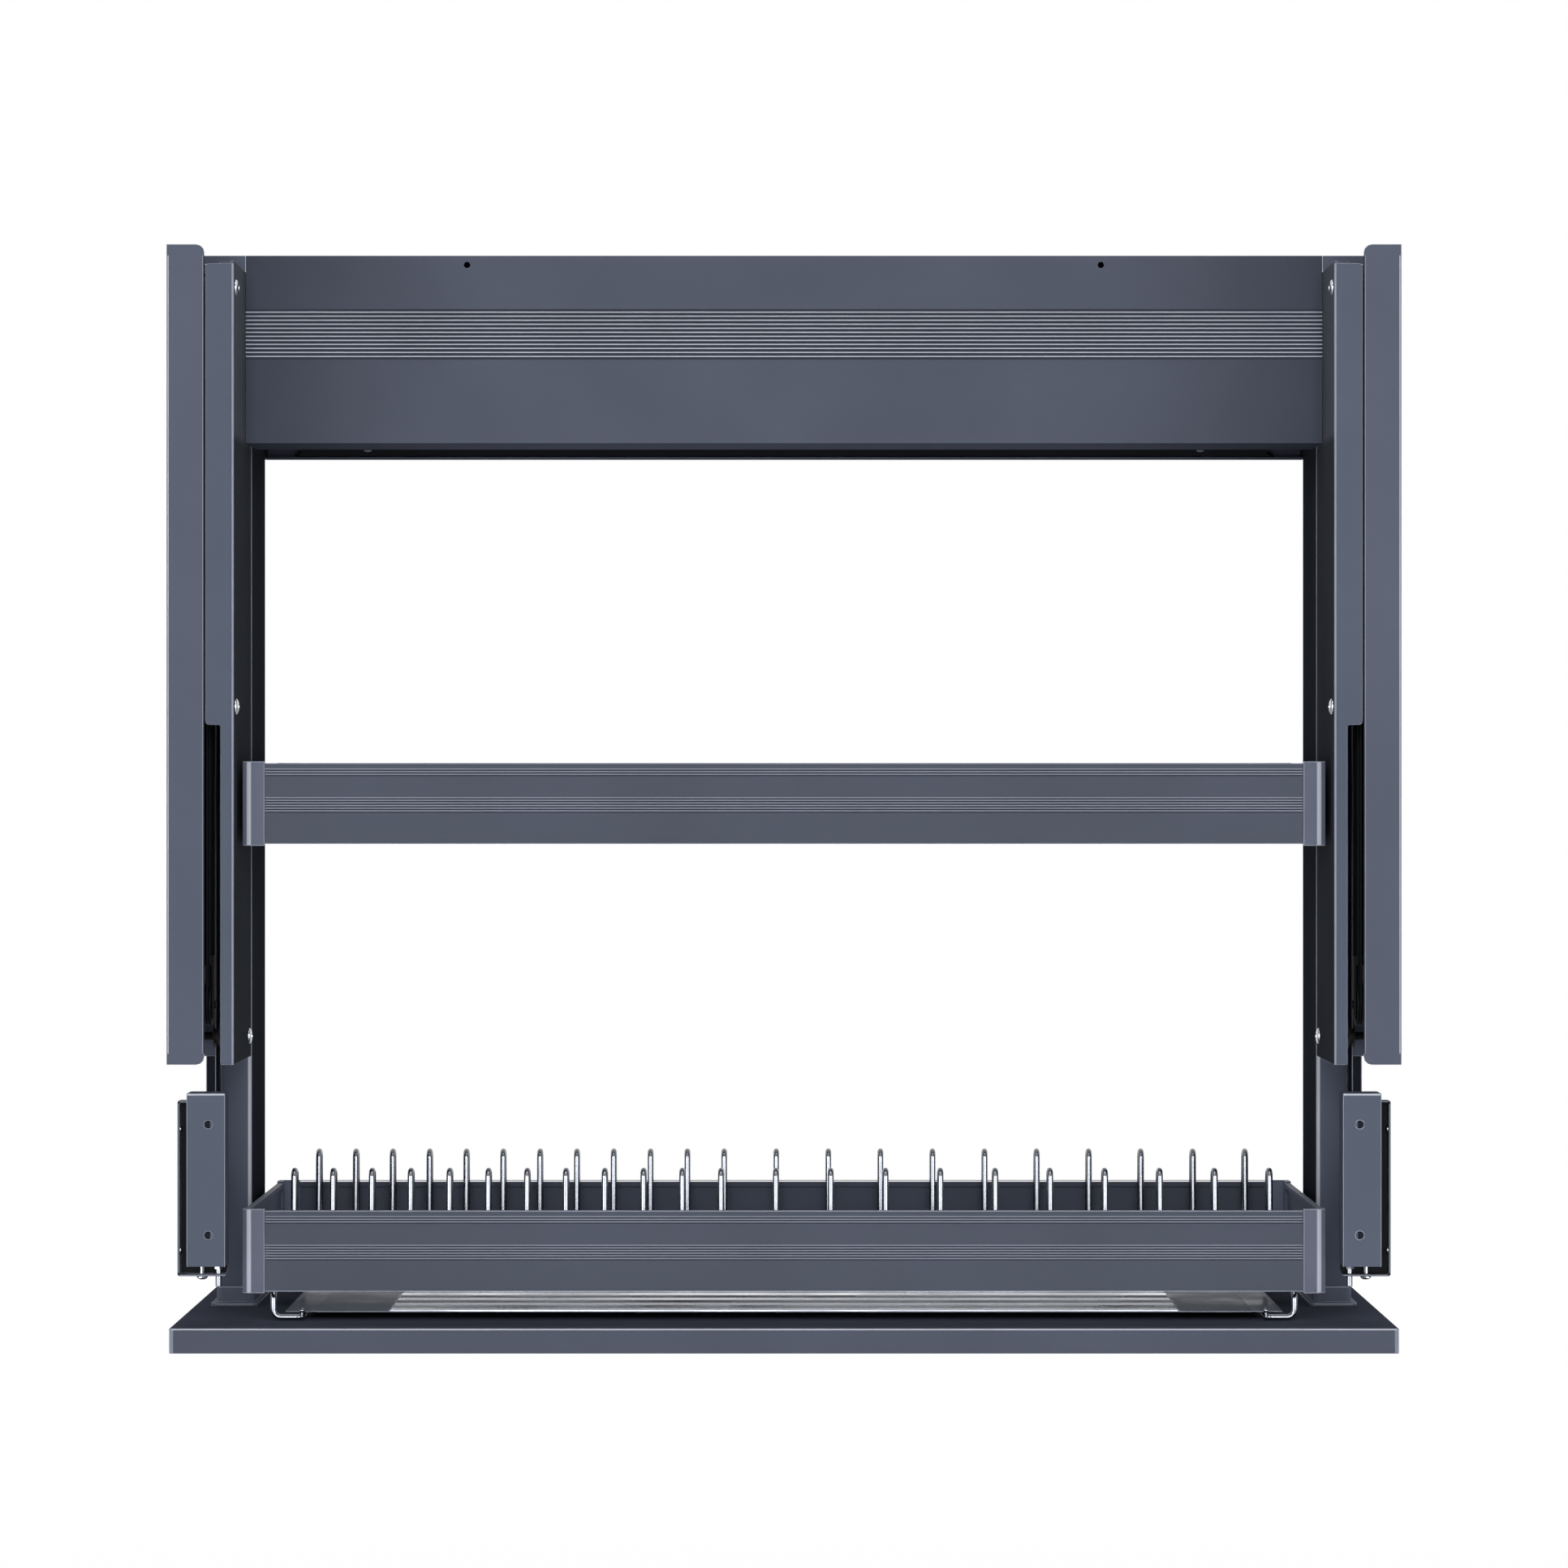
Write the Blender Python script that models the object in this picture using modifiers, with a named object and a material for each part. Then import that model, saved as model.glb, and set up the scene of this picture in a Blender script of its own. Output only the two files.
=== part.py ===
"""Pull-down dish rack for a wall cabinet 800 mm wide, in metres, +Z up, front towards -Y.

The origin lies under the middle of the bottom panel. The rack is built raised, at rest: the posts,
the two baskets and the bottom panel hang on carriages in the guide rails and slide straight down.
"""

import math

import bmesh
import bpy
from mathutils import Vector

# Overall sizes
RACK_WIDTH = 0.767
RACK_HEIGHT = 0.689
RACK_DEPTH = 0.285
RUNNING_GAP = 0.0003
SHAFT_CLEARANCE = 0.0001
CUT_OVERRUN = 0.003
WELD_OVERLAP = 0.0007

# Housing: a folded channel, open inward and at both ends, one at each end of the rack
HOUSING_WIDTH = 0.0234
HOUSING_DEPTH = 0.108
HOUSING_BOTTOM = 0.1794
HOUSING_SHEET = 0.0012
HOUSING_CORNER = 0.005
HOUSING_BACK_WIDTH = 0.0192
WALL_HOLE_RADIUS = 0.0023
WALL_HOLE_SPACING_Y = 0.064
WALL_HOLE_END_MARGIN = 0.0786

# Inner cover: a folded sheet with a stepped front flange, a top flange and the gas spring's seat
COVER_INSET = 0.0418
COVER_SHEET = 0.0012
COVER_TOP_DROP = 0.0102
COVER_BEND = 0.0018
FLANGE_WIDTH = 0.0177
FLANGE_NARROW = 0.0083
FLANGE_STEP_HEIGHT = 0.2112
FLANGE_TOP_DROP = 0.0015
FLANGE_CORNER = 0.0023
STEP_FILLET = 0.0015
TOP_FLANGE_WIDTH = 0.0091
TOP_FLANGE_RELIEF = 0.0025
SEAT_DROP = 0.0192
SEAT_SHEET = 0.002
SEAT_MARGIN = 0.0045

# Through bolts, each with a domed head on the cover: two near the front edge, one near the back edge
BOLT_RADIUS = 0.0025
BOLT_HEAD_RADIUS = 0.005
BOLT_HEAD_HEIGHT = 0.002
BOLT_SIDES = 12
UPPER_BOLT_DEPTH = 0.010
UPPER_BOLT_TOP_DROP = 0.026
MIDDLE_BOLT_TOP_DROP = 0.287
LOWER_BOLT_BACK_MARGIN = 0.016
LOWER_BOLT_RISE = 0.0136

# Lifting gear: gas spring, moving pulley, top pulley, lower buffer and cable, all in one plane
GEAR_INSET = 0.0218
PULLEY_WIDTH = 0.0041
PULLEY_FLANGE = 0.0008
PULLEY_RIM = 0.001
PULLEY_SIDES = 20
CABLE_RADIUS = 0.001
MOVING_PULLEY_TRACK = 0.0125
TOP_PULLEY_TRACK = 0.020
BUFFER_TRACK = 0.00625
TOP_PULLEY_DROP = 0.053
MOVING_PULLEY_RISE = 0.0356
CABLE_BACK_MARGIN = 0.0105
CYLINDER_RADIUS = 0.0095
CYLINDER_WALL = 0.0012
CYLINDER_TOP_DROP = 0.023
CYLINDER_SPARE = 0.014
GLAND_LENGTH = 0.012
STUD_RADIUS = 0.004
STUD_LENGTH = 0.006
ROD_RADIUS = 0.003
PISTON_LENGTH = 0.010
PISTON_GAP = 0.0006
YOKE_CHEEK = 0.0013
YOKE_DEPTH = 0.014
YOKE_RISE = 0.025
YOKE_BRIDGE = 0.006
YOKE_DROP = 0.009
GEAR_SIDES = 16
CABLE_END_LENGTH = 0.004

# Guide rail: a lipped channel that opens towards the posts
GUIDE_INSET = 0.0128
GUIDE_WIDTH = 0.0064
GUIDE_DEPTH = 0.0407
GUIDE_SHEET = 0.0012
GUIDE_LIP = 0.0045
GUIDE_BOTTOM = 0.060
GUIDE_TOP_DROP = 0.029

# Carriage: slides in the guide rail and carries a post
CARRIAGE_LENGTH = 0.200
CARRIAGE_TOP_DROP = 0.020
CARRIAGE_CHAMFER = 0.012
CARRIAGE_INNER_INSET = 0.0015
LUG_WIDTH = 0.0036
LUG_HEIGHT = 0.04265
STOP_GAP = 0.0008

# Post: a hollow extrusion
POST_INSET = 0.0175
POST_WIDTH = 0.0204
POST_DEPTH = 0.091
POST_GUIDE_GAP = 0.001
POST_WALL = 0.0015
POST_CORNER = 0.004
POST_TOP_DROP = 0.029
POST_GROOVE = 0.0008
POST_GROOVE_PITCH = 0.0016
POST_GROOVE_BACK = 0.006
POST_RIB_SHARE = 0.5

# Post foot: a flange on the panel with a collar round the post
FOOT_WIDTH = 0.0306
FOOT_DEPTH = 0.113
FOOT_FRONT_LEAD = 0.012
FOOT_INNER_LEAD = 0.0052
FOOT_SHEET = 0.002
FOOT_CORNER = 0.003
COLLAR_WALL = 0.002
COLLAR_HEIGHT = 0.010

# Bottom panel
PANEL_THICKNESS = 0.0156
PANEL_SIDE_CLEARANCE = 0.0015
PANEL_EDGE = 0.0006

# Baskets: rails of one extrusion joined by corner pieces
RAIL_HEIGHT = 0.0504
RAIL_WALL = 0.0018
RAIL_BEAD_WIDTH = 0.004
RAIL_BEAD_HEIGHT = 0.003
RAIL_LEDGE_RISE = 0.0065
RAIL_LEDGE_WIDTH = 0.008
RAIL_LEDGE_SHEET = 0.0015
GROOVE_WIDTH = 0.0009
GROOVE_DEPTH = 0.0005
GROOVE_PITCH = 0.00165
UPPER_GROOVES_DROP = 0.00445
UPPER_GROOVE_COUNT = 3
LOWER_GROOVES_DROP = 0.0223
LOWER_GROOVE_COUNT = 6
BASKET_POST_CLEARANCE = 0.0077
BASKET_FRONT = 0.013
BASKET_DEPTH = 0.244
CORNER_LENGTH = 0.014
CORNER_RADIUS = 0.008
CORNER_THICKNESS = 0.004
CORNER_PROUD = 0.0004
CORNER_TALLER = 0.0011
SHELF_BOTTOM = 0.3164
LOWER_BASKET_BOTTOM = 0.0373
ARM_REAR_MARGIN = 0.018
ARM_HEIGHT = 0.030
ARM_FRONT_LEAD = 0.015
ARM_ROOT_SHARE = 0.5

# Shelf grid: wires across the basket between two edge rods
GRID_ROD_RADIUS = 0.0022
GRID_WIRE_RADIUS = 0.0016
GRID_WIRE_PITCH = 0.026
GRID_MARGIN = 0.003

# Plate rows: two lines of upright loops, closely set at the left and widely set at the right
LOOP_RADIUS = 0.0019
LOOP_TOP = 0.1112
LOOP_FOOT_DEPTH = 0.018
LOOP_HEAD_DEPTH = 0.010
WIDE_TO_CLOSE_PITCH = 1.4143
CLOSE_COUNT = 12
WIDE_COUNT = 10
ROW_LEFT_MARGIN = 0.0286
ROW_RIGHT_MARGIN = 0.0312
FRONT_ROW_DEPTH = 0.061
BACK_ROW_DEPTH = 0.238
RACK_ROD_RADIUS = 0.0025

# Tray runners and drip tray under the lower basket
RUNNER_RADIUS = 0.0019
RUNNER_BEND = 0.0045
RUNNER_OUTER_INSET = 0.0166
RUNNER_STEP = 0.0179
RUNNER_FRONT = 0.045
RUNNER_FLOOR_GAP = 0.0007
STOP_RADIUS = 0.0016
STOP_RISE = 0.0042
STOP_STEM_RADIUS = 0.001
TRAY_OVERHANG = 0.011
TRAY_FRONT_LEAD = 0.005
TRAY_BACK_MARGIN = 0.008
TRAY_SHEET = 0.0009
TRAY_RIM = 0.0012
TRAY_RIM_WIDTH = 0.0012
TRAY_CORNER = 0.006
TRAY_RIB_HALF_LENGTH = 0.251
TRAY_RIB_COUNT = 6
TRAY_RIB_PITCH = 0.0323
TRAY_RIB_WIDTH = 0.017
TRAY_RIB_HEIGHT = 0.0016
TRAY_RIB_LEAD = 0.011

# Top box: fascia, rear shell, underside pan and a tie at each end
TOP_BOX_FRONT_LEAD = 0.038
TOP_BOX_BACK = 0.247
TOP_BOX_HEIGHT = 0.1188
TOP_BOX_DROP = 0.0002
FASCIA_SHEET = 0.0016
FASCIA_TOP_FLANGE = 0.020
FASCIA_BOTTOM_FLANGE = 0.066
FASCIA_RIB_COUNT = 12
FASCIA_RIB_PITCH = 0.00255
FASCIA_RIB_WIDTH = 0.001
FASCIA_RIB_HEIGHT = 0.0005
FASCIA_RIBS_DROP = 0.0358
FASCIA_HOLE_X = 0.201
FASCIA_HOLE_DROP = 0.0058
FASCIA_HOLE_RADIUS = 0.00205
SHELL_SHEET = 0.0012
SHELL_BACK_LIP = 0.012
PAN_SHEET = 0.0012
PAN_END_INSET = 0.0157
PAN_LAP = 0.006
PAN_END_SCOOP = 0.009
TIE_SHEET = 0.0016
TIE_HEIGHT = 0.0288
TIE_WALL_FLANGE = 0.028

# Front bracket: shallow tray on an arm from the guide rail, height-adjusted box and its screw
BRACKET_TOP_DROP = 0.0231
BRACKET_BOTTOM = 0.0466
BRACKET_SHEET = 0.0015
BRACKET_ARM_MARGIN = 0.0065
BRACKET_ARM_SHEET = 0.002
BRACKET_OUTER_INSET = 0.0049
BRACKET_WIDTH = 0.031
BRACKET_FRONT = 0.016
BRACKET_CORNER = 0.004
BOX_WIDTH = 0.0239
BOX_DEPTH = 0.022
BOX_BOTTOM = 0.0539
BOX_OVER_CHANNEL = 0.0054
BOX_OUTER_INSET = 0.0124
BOX_SHEET = 0.0014
BOX_EDGE = 0.0006
BOX_HOLE_RADIUS = 0.0026
BOX_HOLE_INSET = 0.0135
BOX_HOLE_TOP_DROP = 0.0194
BOX_HOLE_SPACING = 0.0688
SCREW_INSET = 0.0201
SCREW_SHANK_RADIUS = 0.0016
SCREW_HEAD_RADIUS = 0.00345
SCREW_HEAD_HEIGHT = 0.002
STUD_INSET = 0.0303
STUD_PIN_RADIUS = 0.00185
STUD_PIN_DROP = 0.0139

# Places that follow from the sizes above
HALF = RACK_WIDTH / 2
FRONT = -RACK_DEPTH / 2
HOUSING_REAR = FRONT + HOUSING_DEPTH
WEB = HALF - COVER_INSET
COVER_TOP = RACK_HEIGHT - COVER_TOP_DROP
GEAR = HALF - GEAR_INSET
GUIDE_FRONT = HOUSING_REAR + RUNNING_GAP
GUIDE_BACK = GUIDE_FRONT + GUIDE_DEPTH
GUIDE_OUTER = HALF - GUIDE_INSET
GUIDE_INNER = GUIDE_OUTER - GUIDE_WIDTH
GUIDE_TOP = RACK_HEIGHT - GUIDE_TOP_DROP
CARRIAGE_TOP = GUIDE_TOP - CARRIAGE_TOP_DROP
POST_OUTER = HALF - POST_INSET
POST_INNER = POST_OUTER - POST_WIDTH
POST_FRONT = GUIDE_BACK + POST_GUIDE_GAP
POST_REAR = POST_FRONT + POST_DEPTH
FOOT_BOTTOM = PANEL_THICKNESS + RUNNING_GAP
FOOT_TOP = FOOT_BOTTOM + FOOT_SHEET
POST_BOTTOM = FOOT_TOP + RUNNING_GAP
BASKET_HALF = POST_INNER - BASKET_POST_CLEARANCE
BASKET_FACE = FRONT + BASKET_FRONT
BASKET_REAR = BASKET_FACE + BASKET_DEPTH
LEDGE_TOP_RISE = RAIL_LEDGE_RISE + RAIL_LEDGE_SHEET
TOP_PULLEY_HEIGHT = RACK_HEIGHT - TOP_PULLEY_DROP
MOVING_PULLEY_HEIGHT = HOUSING_BOTTOM + MOVING_PULLEY_RISE
CABLE_DROP_Y = HOUSING_REAR - CABLE_BACK_MARGIN
TOP_PULLEY_Y = CABLE_DROP_Y - TOP_PULLEY_TRACK
CYLINDER_Y = TOP_PULLEY_Y - TOP_PULLEY_TRACK - MOVING_PULLEY_TRACK
LUG_TOP = TOP_PULLEY_HEIGHT - TOP_PULLEY_TRACK - CABLE_RADIUS - PULLEY_RIM - RUNNING_GAP
BUFFER_HEIGHT = HOUSING_BOTTOM + LOWER_BOLT_RISE
LIFT_TRAVEL = LUG_TOP - LUG_HEIGHT - (BUFFER_HEIGHT + BUFFER_TRACK + PULLEY_RIM + STOP_GAP)
CYLINDER_TOP = RACK_HEIGHT - CYLINDER_TOP_DROP
CYLINDER_LENGTH = LIFT_TRAVEL / 2 + GLAND_LENGTH + PISTON_LENGTH + CYLINDER_SPARE
CYLINDER_BOTTOM = CYLINDER_TOP - CYLINDER_LENGTH
SEAT_TOP = RACK_HEIGHT - SEAT_DROP + SEAT_SHEET / 2
SEAT_BOTTOM = SEAT_TOP - SEAT_SHEET
TOP_BOX_HALF = WEB - RUNNING_GAP
TOP_BOX_FRONT = HOUSING_REAR - TOP_BOX_FRONT_LEAD
TOP_BOX_TOP = RACK_HEIGHT - TOP_BOX_DROP
TOP_BOX_BOTTOM = TOP_BOX_TOP - TOP_BOX_HEIGHT
RUNNER_BOTTOM = PANEL_THICKNESS + RUNNER_FLOOR_GAP + RUNNER_RADIUS
RUNNER_TOP = LOWER_BASKET_BOTTOM - CORNER_TALLER - RUNNING_GAP - RUNNER_RADIUS
RUNNER_OUTER = BASKET_HALF - RUNNER_OUTER_INSET
RUNNER_INNER = RUNNER_OUTER - RUNNER_STEP
TRAY_BOTTOM = RUNNER_BOTTOM + RUNNER_RADIUS + RUNNING_GAP
ROW_LENGTH = 2 * BASKET_HALF - ROW_LEFT_MARGIN - ROW_RIGHT_MARGIN
CLOSE_PITCH = ROW_LENGTH / (CLOSE_COUNT - 1 + WIDE_COUNT * WIDE_TO_CLOSE_PITCH)
WIDE_PITCH = CLOSE_PITCH * WIDE_TO_CLOSE_PITCH
BRACKET_TOP = HOUSING_BOTTOM - BRACKET_TOP_DROP
BOX_HEIGHT = BRACKET_TOP + BOX_OVER_CHANNEL - BOX_BOTTOM
THROUGH_BOLTS = {
    "upper": (FRONT + UPPER_BOLT_DEPTH, RACK_HEIGHT - UPPER_BOLT_TOP_DROP),
    "middle": (FRONT + UPPER_BOLT_DEPTH, RACK_HEIGHT - MIDDLE_BOLT_TOP_DROP),
    "lower": (HOUSING_REAR - LOWER_BOLT_BACK_MARGIN, BUFFER_HEIGHT),
}
SIDES = {"left": -1, "right": 1}
ARC_STEPS = 3
SMALL_SIDES = 8
MOUNT_HOLE_SIDES = 12
SMOOTH_ANGLE = math.radians(35)

# Finishes: sRGB colour, roughness, metallic
SLATE = ("slate_powder_coat", (0.34, 0.36, 0.41), 0.45, 0.3)
DARK = ("dark_coated_steel", (0.10, 0.11, 0.13), 0.5, 0.4)
STAINLESS = ("polished_stainless", (0.78, 0.79, 0.80), 0.15, 1.0)
ZINC = ("bright_zinc", (0.80, 0.81, 0.83), 0.25, 1.0)
BLACK_PLASTIC = ("black_nylon", (0.05, 0.05, 0.055), 0.5, 0.0)


def linear(channel):
    """An sRGB channel as linear light."""
    return channel / 12.92 if channel <= 0.04045 else ((channel + 0.055) / 1.055) ** 2.4


def collection(name):
    """The collection of this name, made on first use."""
    found = bpy.data.collections.get(name)
    if found is None:
        found = bpy.data.collections.new(name)
        bpy.context.scene.collection.children.link(found)
    return found


def add_object(name, mesh):
    """A mesh as an object in the part's collection."""
    made = bpy.data.objects.new(name, mesh)
    collection("pull_down_dish_rack").objects.link(made)
    return made


def empty(name, place, parent=None):
    """An empty on a joint's axis, for the pieces that move with it."""
    made = bpy.data.objects.new(name, None)
    collection("pull_down_dish_rack").objects.link(made)
    made.location = place
    bpy.context.view_layer.update()
    return hang(made, parent)


def hang(made, parent):
    """Parents an object and leaves it where it is."""
    if parent is not None:
        bpy.context.view_layer.update()
        made.parent = parent
        made.matrix_parent_inverse = parent.matrix_world.inverted()
    return made


def finish(made, look, parent=None):
    """Gives a piece its own material, smooth round faces and its parent."""
    surface, colour, roughness, metallic = look
    material = bpy.data.materials.new(f"{made.name}_{surface}")
    material.use_nodes = True
    shader = material.node_tree.nodes["Principled BSDF"]
    shader.inputs["Base Color"].default_value = (*map(linear, colour), 1)
    shader.inputs["Roughness"].default_value = roughness
    shader.inputs["Metallic"].default_value = metallic
    made.data.materials.clear()
    made.data.materials.append(material)
    made.data.shade_smooth()
    made.data.set_sharp_from_angle(angle=SMOOTH_ANGLE)
    return hang(made, parent)


def close_mesh(mesh):
    """Welds a mesh's loose caps and turns its faces out."""
    shape = bmesh.new()
    shape.from_mesh(mesh)
    bmesh.ops.remove_doubles(shape, verts=shape.verts, dist=1e-6)
    bmesh.ops.recalc_face_normals(shape, faces=shape.faces)
    shape.to_mesh(mesh)
    shape.free()


def baked(holder):
    """The evaluated mesh of a curve or a turned profile. The holder is removed."""
    bpy.context.view_layer.update()
    graph = bpy.context.evaluated_depsgraph_get()
    mesh = bpy.data.meshes.new_from_object(holder.evaluated_get(graph))
    mesh.name = holder.name
    bpy.data.objects.remove(holder)
    close_mesh(mesh)
    return mesh


def fillet(before, corner, after, radius, steps):
    """The points of an arc that rounds a corner, in two or three dimensions."""
    back = (before - corner).normalized()
    ahead = (after - corner).normalized()
    half = back.angle(ahead) / 2
    start = corner + back * (radius / math.tan(half))
    end = corner + ahead * (radius / math.tan(half))
    centre = corner + (back + ahead).normalized() * (radius / math.sin(half))
    spoke = start - centre
    turn = spoke.angle(end - centre)
    side = (end - centre - spoke * math.cos(turn)).normalized() * radius
    angles = (turn * step / steps for step in range(steps + 1))
    return [centre + spoke * math.cos(angle) + side * math.sin(angle) for angle in angles]


def rounded(corners, steps=ARC_STEPS, cyclic=True):
    """A path through corners given as (coordinates, radius), each corner rounded."""
    places = [Vector(place) for place, _ in corners]
    path = []
    for index, (_, radius) in enumerate(corners):
        inside = cyclic or 0 < index < len(corners) - 1
        if radius > 0 and inside:
            before = places[index - 1]
            after = places[(index + 1) % len(places)]
            path += fillet(before, places[index], after, radius, steps)
        else:
            path.append(places[index])
    return path


def rectangle(low, high, radius=0.0):
    """A rectangle's corners with one radius, for rounded."""
    (u0, v0), (u1, v1) = low, high
    return rounded([((u0, v0), radius), ((u1, v0), radius), ((u1, v1), radius), ((u0, v1), radius)])


def circle(centre, radius, sides=BOLT_SIDES):
    """A circle's points."""
    turns = (math.tau * (side + 0.5) / sides for side in range(sides))
    return [Vector((centre[0] + radius * math.cos(t), centre[1] + radius * math.sin(t))) for t in turns]


def extrude(name, outlines, axis, low, high):
    """Flat outlines, the first the edge and the rest holes, extruded along an axis from low to high.

    Outlines hold (y, z) for axis X, (x, z) for axis Y and (x, y) for axis Z.
    """
    curve = bpy.data.curves.new(name, "CURVE")
    curve.dimensions = "2D"
    curve.fill_mode = "BOTH"
    curve.extrude = abs(high - low) / 2
    middle = Vector((sum(p[0] for p in outlines[0]), sum(p[1] for p in outlines[0]))) / len(outlines[0])
    for outline in outlines:
        spline = curve.splines.new("POLY")
        spline.points.add(len(outline) - 1)
        for point, place in zip(spline.points, outline):
            point.co = (place[0] - middle[0], place[1] - middle[1], 0, 1)
        spline.use_cyclic_u = True
    mesh = baked(add_object(name, curve))
    for vertex in mesh.vertices:
        u, v, w = vertex.co
        vertex.co = {"X": (w, u, v), "Y": (u, w, v), "Z": (u, v, w)}[axis]
    close_mesh(mesh)
    made = add_object(name, mesh)
    along = (low + high) / 2
    u, v = middle
    made.location = {"X": (along, u, v), "Y": (u, along, v), "Z": (u, v, along)}[axis]
    return made


def box(name, low, high):
    """A box between two corners."""
    shape = bmesh.new()
    bmesh.ops.create_cube(shape, size=1)
    size = [abs(b - a) for a, b in zip(low, high)]
    bmesh.ops.scale(shape, vec=size, verts=shape.verts)
    mesh = bpy.data.meshes.new(name)
    shape.to_mesh(mesh)
    shape.free()
    made = add_object(name, mesh)
    made.location = [(a + b) / 2 for a, b in zip(low, high)]
    return made


def turned(name, profile, axis, centre, sides, ring=False):
    """A profile of (radius, along) points turned about an axis; a ring's profile closes on itself."""
    mesh = bpy.data.meshes.new(name)
    count = len(profile)
    edges = [(i, i + 1) for i in range(count - 1)] + ([(count - 1, 0)] if ring else [])
    mesh.from_pydata([(radius, 0, along) for radius, along in profile], edges, [])
    holder = add_object(name, mesh)
    screw = holder.modifiers.new("turn", "SCREW")
    screw.steps = sides
    screw.render_steps = sides
    screw.use_merge_vertices = True
    screw.merge_threshold = 1e-6
    mesh = baked(holder)
    if axis == "X":
        for vertex in mesh.vertices:
            x, y, z = vertex.co
            vertex.co = (z, x, y)
    made = add_object(name, mesh)
    made.location = centre
    return made


def wires(name, paths, radius, resolution=1, cyclic=False):
    """Round wire along each path, as one mesh of closed tubes."""
    curve = bpy.data.curves.new(name, "CURVE")
    curve.dimensions = "3D"
    curve.bevel_depth = radius
    curve.bevel_resolution = resolution
    curve.use_fill_caps = not cyclic
    for path in paths:
        spline = curve.splines.new("POLY")
        spline.points.add(len(path) - 1)
        for point, place in zip(spline.points, path):
            point.co = (*place, 1)
        spline.use_cyclic_u = cyclic
    return add_object(name, baked(add_object(name, curve)))


def shelve(tool):
    """Moves a Boolean's tool out of the part."""
    tool.hide_render = True
    tool.display_type = "WIRE"
    collection("pull_down_dish_rack").objects.unlink(tool)
    collection("cutters").objects.link(tool)


def combine(made, tool, operation):
    """Adds an exact Boolean of a piece with its tool."""
    modifier = made.modifiers.new(tool.name, "BOOLEAN")
    modifier.operation = operation
    modifier.solver = "EXACT"
    modifier.object = tool
    shelve(tool)


def cut(made, tool):
    """Takes a tool away from a piece."""
    combine(made, tool, "DIFFERENCE")


def weld(made, tool):
    """Joins a shape to the piece that carries it."""
    combine(made, tool, "UNION")


def across(side, inner, outer):
    """Two distances from the middle as (low, high) along X on one side."""
    return sorted((side * inner, side * outer))


def side_box(name, side, inner, outer, low, high):
    """A box on one side between two distances from the middle, with low and high as (y, z)."""
    x_low, x_high = across(side, inner, outer)
    return box(name, (x_low, *low), (x_high, *high))


def bolt_cutters(label, side, inner, outer, radius):
    """A hole along X for each through bolt, between two distances from the middle."""
    x_low, x_high = across(side, inner, outer)
    found = []
    for place, (y, z) in THROUGH_BOLTS.items():
        outline = circle((y, z), radius)
        found.append(extrude(f"{label}_{place}_bolt_hole", [outline], "X", x_low, x_high))
    return found


def build_housing(label, side):
    """Folded housing: a front wall with rounded corners, an outer wall and a narrower back wall."""
    inner = HALF - HOUSING_WIDTH
    back = HOUSING_REAR
    corners = [
        ((side * HALF, HOUSING_BOTTOM), 0.0), ((side * inner, HOUSING_BOTTOM), HOUSING_CORNER),
        ((side * inner, RACK_HEIGHT), HOUSING_CORNER), ((side * HALF, RACK_HEIGHT), 0.0),
    ]
    made = extrude(f"housing_{label}", [rounded(corners)], "Y", FRONT, back)
    low, high = HOUSING_BOTTOM - CUT_OVERRUN, RACK_HEIGHT + CUT_OVERRUN
    cut(made, side_box(
        f"housing_room_{label}", side, inner - CUT_OVERRUN, HALF - HOUSING_SHEET,
        (FRONT + HOUSING_SHEET, low), (back - HOUSING_SHEET, high),
    ))
    cut(made, side_box(
        f"housing_window_{label}", side, inner - CUT_OVERRUN, HALF - HOUSING_BACK_WIDTH,
        (back - HOUSING_SHEET - CUT_OVERRUN, low), (back + CUT_OVERRUN, high),
    ))
    wall = (HALF - HOUSING_SHEET - CUT_OVERRUN, HALF + CUT_OVERRUN)
    for hole in bolt_cutters(f"housing_{label}", side, *wall, BOLT_RADIUS + RUNNING_GAP):
        cut(made, hole)
    x_low, x_high = across(side, *wall)
    near = (FRONT + HOUSING_REAR - WALL_HOLE_SPACING_Y) / 2
    heights = {"low": HOUSING_BOTTOM + WALL_HOLE_END_MARGIN, "high": RACK_HEIGHT - WALL_HOLE_END_MARGIN}
    for place, z in heights.items():
        for end, y in (("front", near), ("rear", near + WALL_HOLE_SPACING_Y)):
            outline = circle((y, z), WALL_HOLE_RADIUS, MOUNT_HOLE_SIDES)
            cut(made, extrude(f"wall_hole_{label}_{place}_{end}", [outline], "X", x_low, x_high))
    return finish(made, SLATE)


def flange_trim(side):
    """What is cut away round the stepped front flange, seen from the front."""
    narrow = WEB + FLANGE_NARROW
    wide = WEB + FLANGE_WIDTH
    step = HOUSING_BOTTOM + FLANGE_STEP_HEIGHT
    top = COVER_TOP - FLANGE_TOP_DROP
    far = wide + CUT_OVERRUN
    corners = [
        ((side * narrow, HOUSING_BOTTOM - CUT_OVERRUN), 0.0),
        ((side * narrow, step), STEP_FILLET),
        ((side * wide, step), FLANGE_CORNER),
        ((side * wide, top), FLANGE_CORNER),
        ((side * (WEB + COVER_BEND), top), 0.0),
        ((side * (WEB + COVER_BEND), COVER_TOP + CUT_OVERRUN), 0.0),
        ((side * far, COVER_TOP + CUT_OVERRUN), 0.0),
        ((side * far, HOUSING_BOTTOM - CUT_OVERRUN), 0.0),
    ]
    return rounded(corners)


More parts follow.
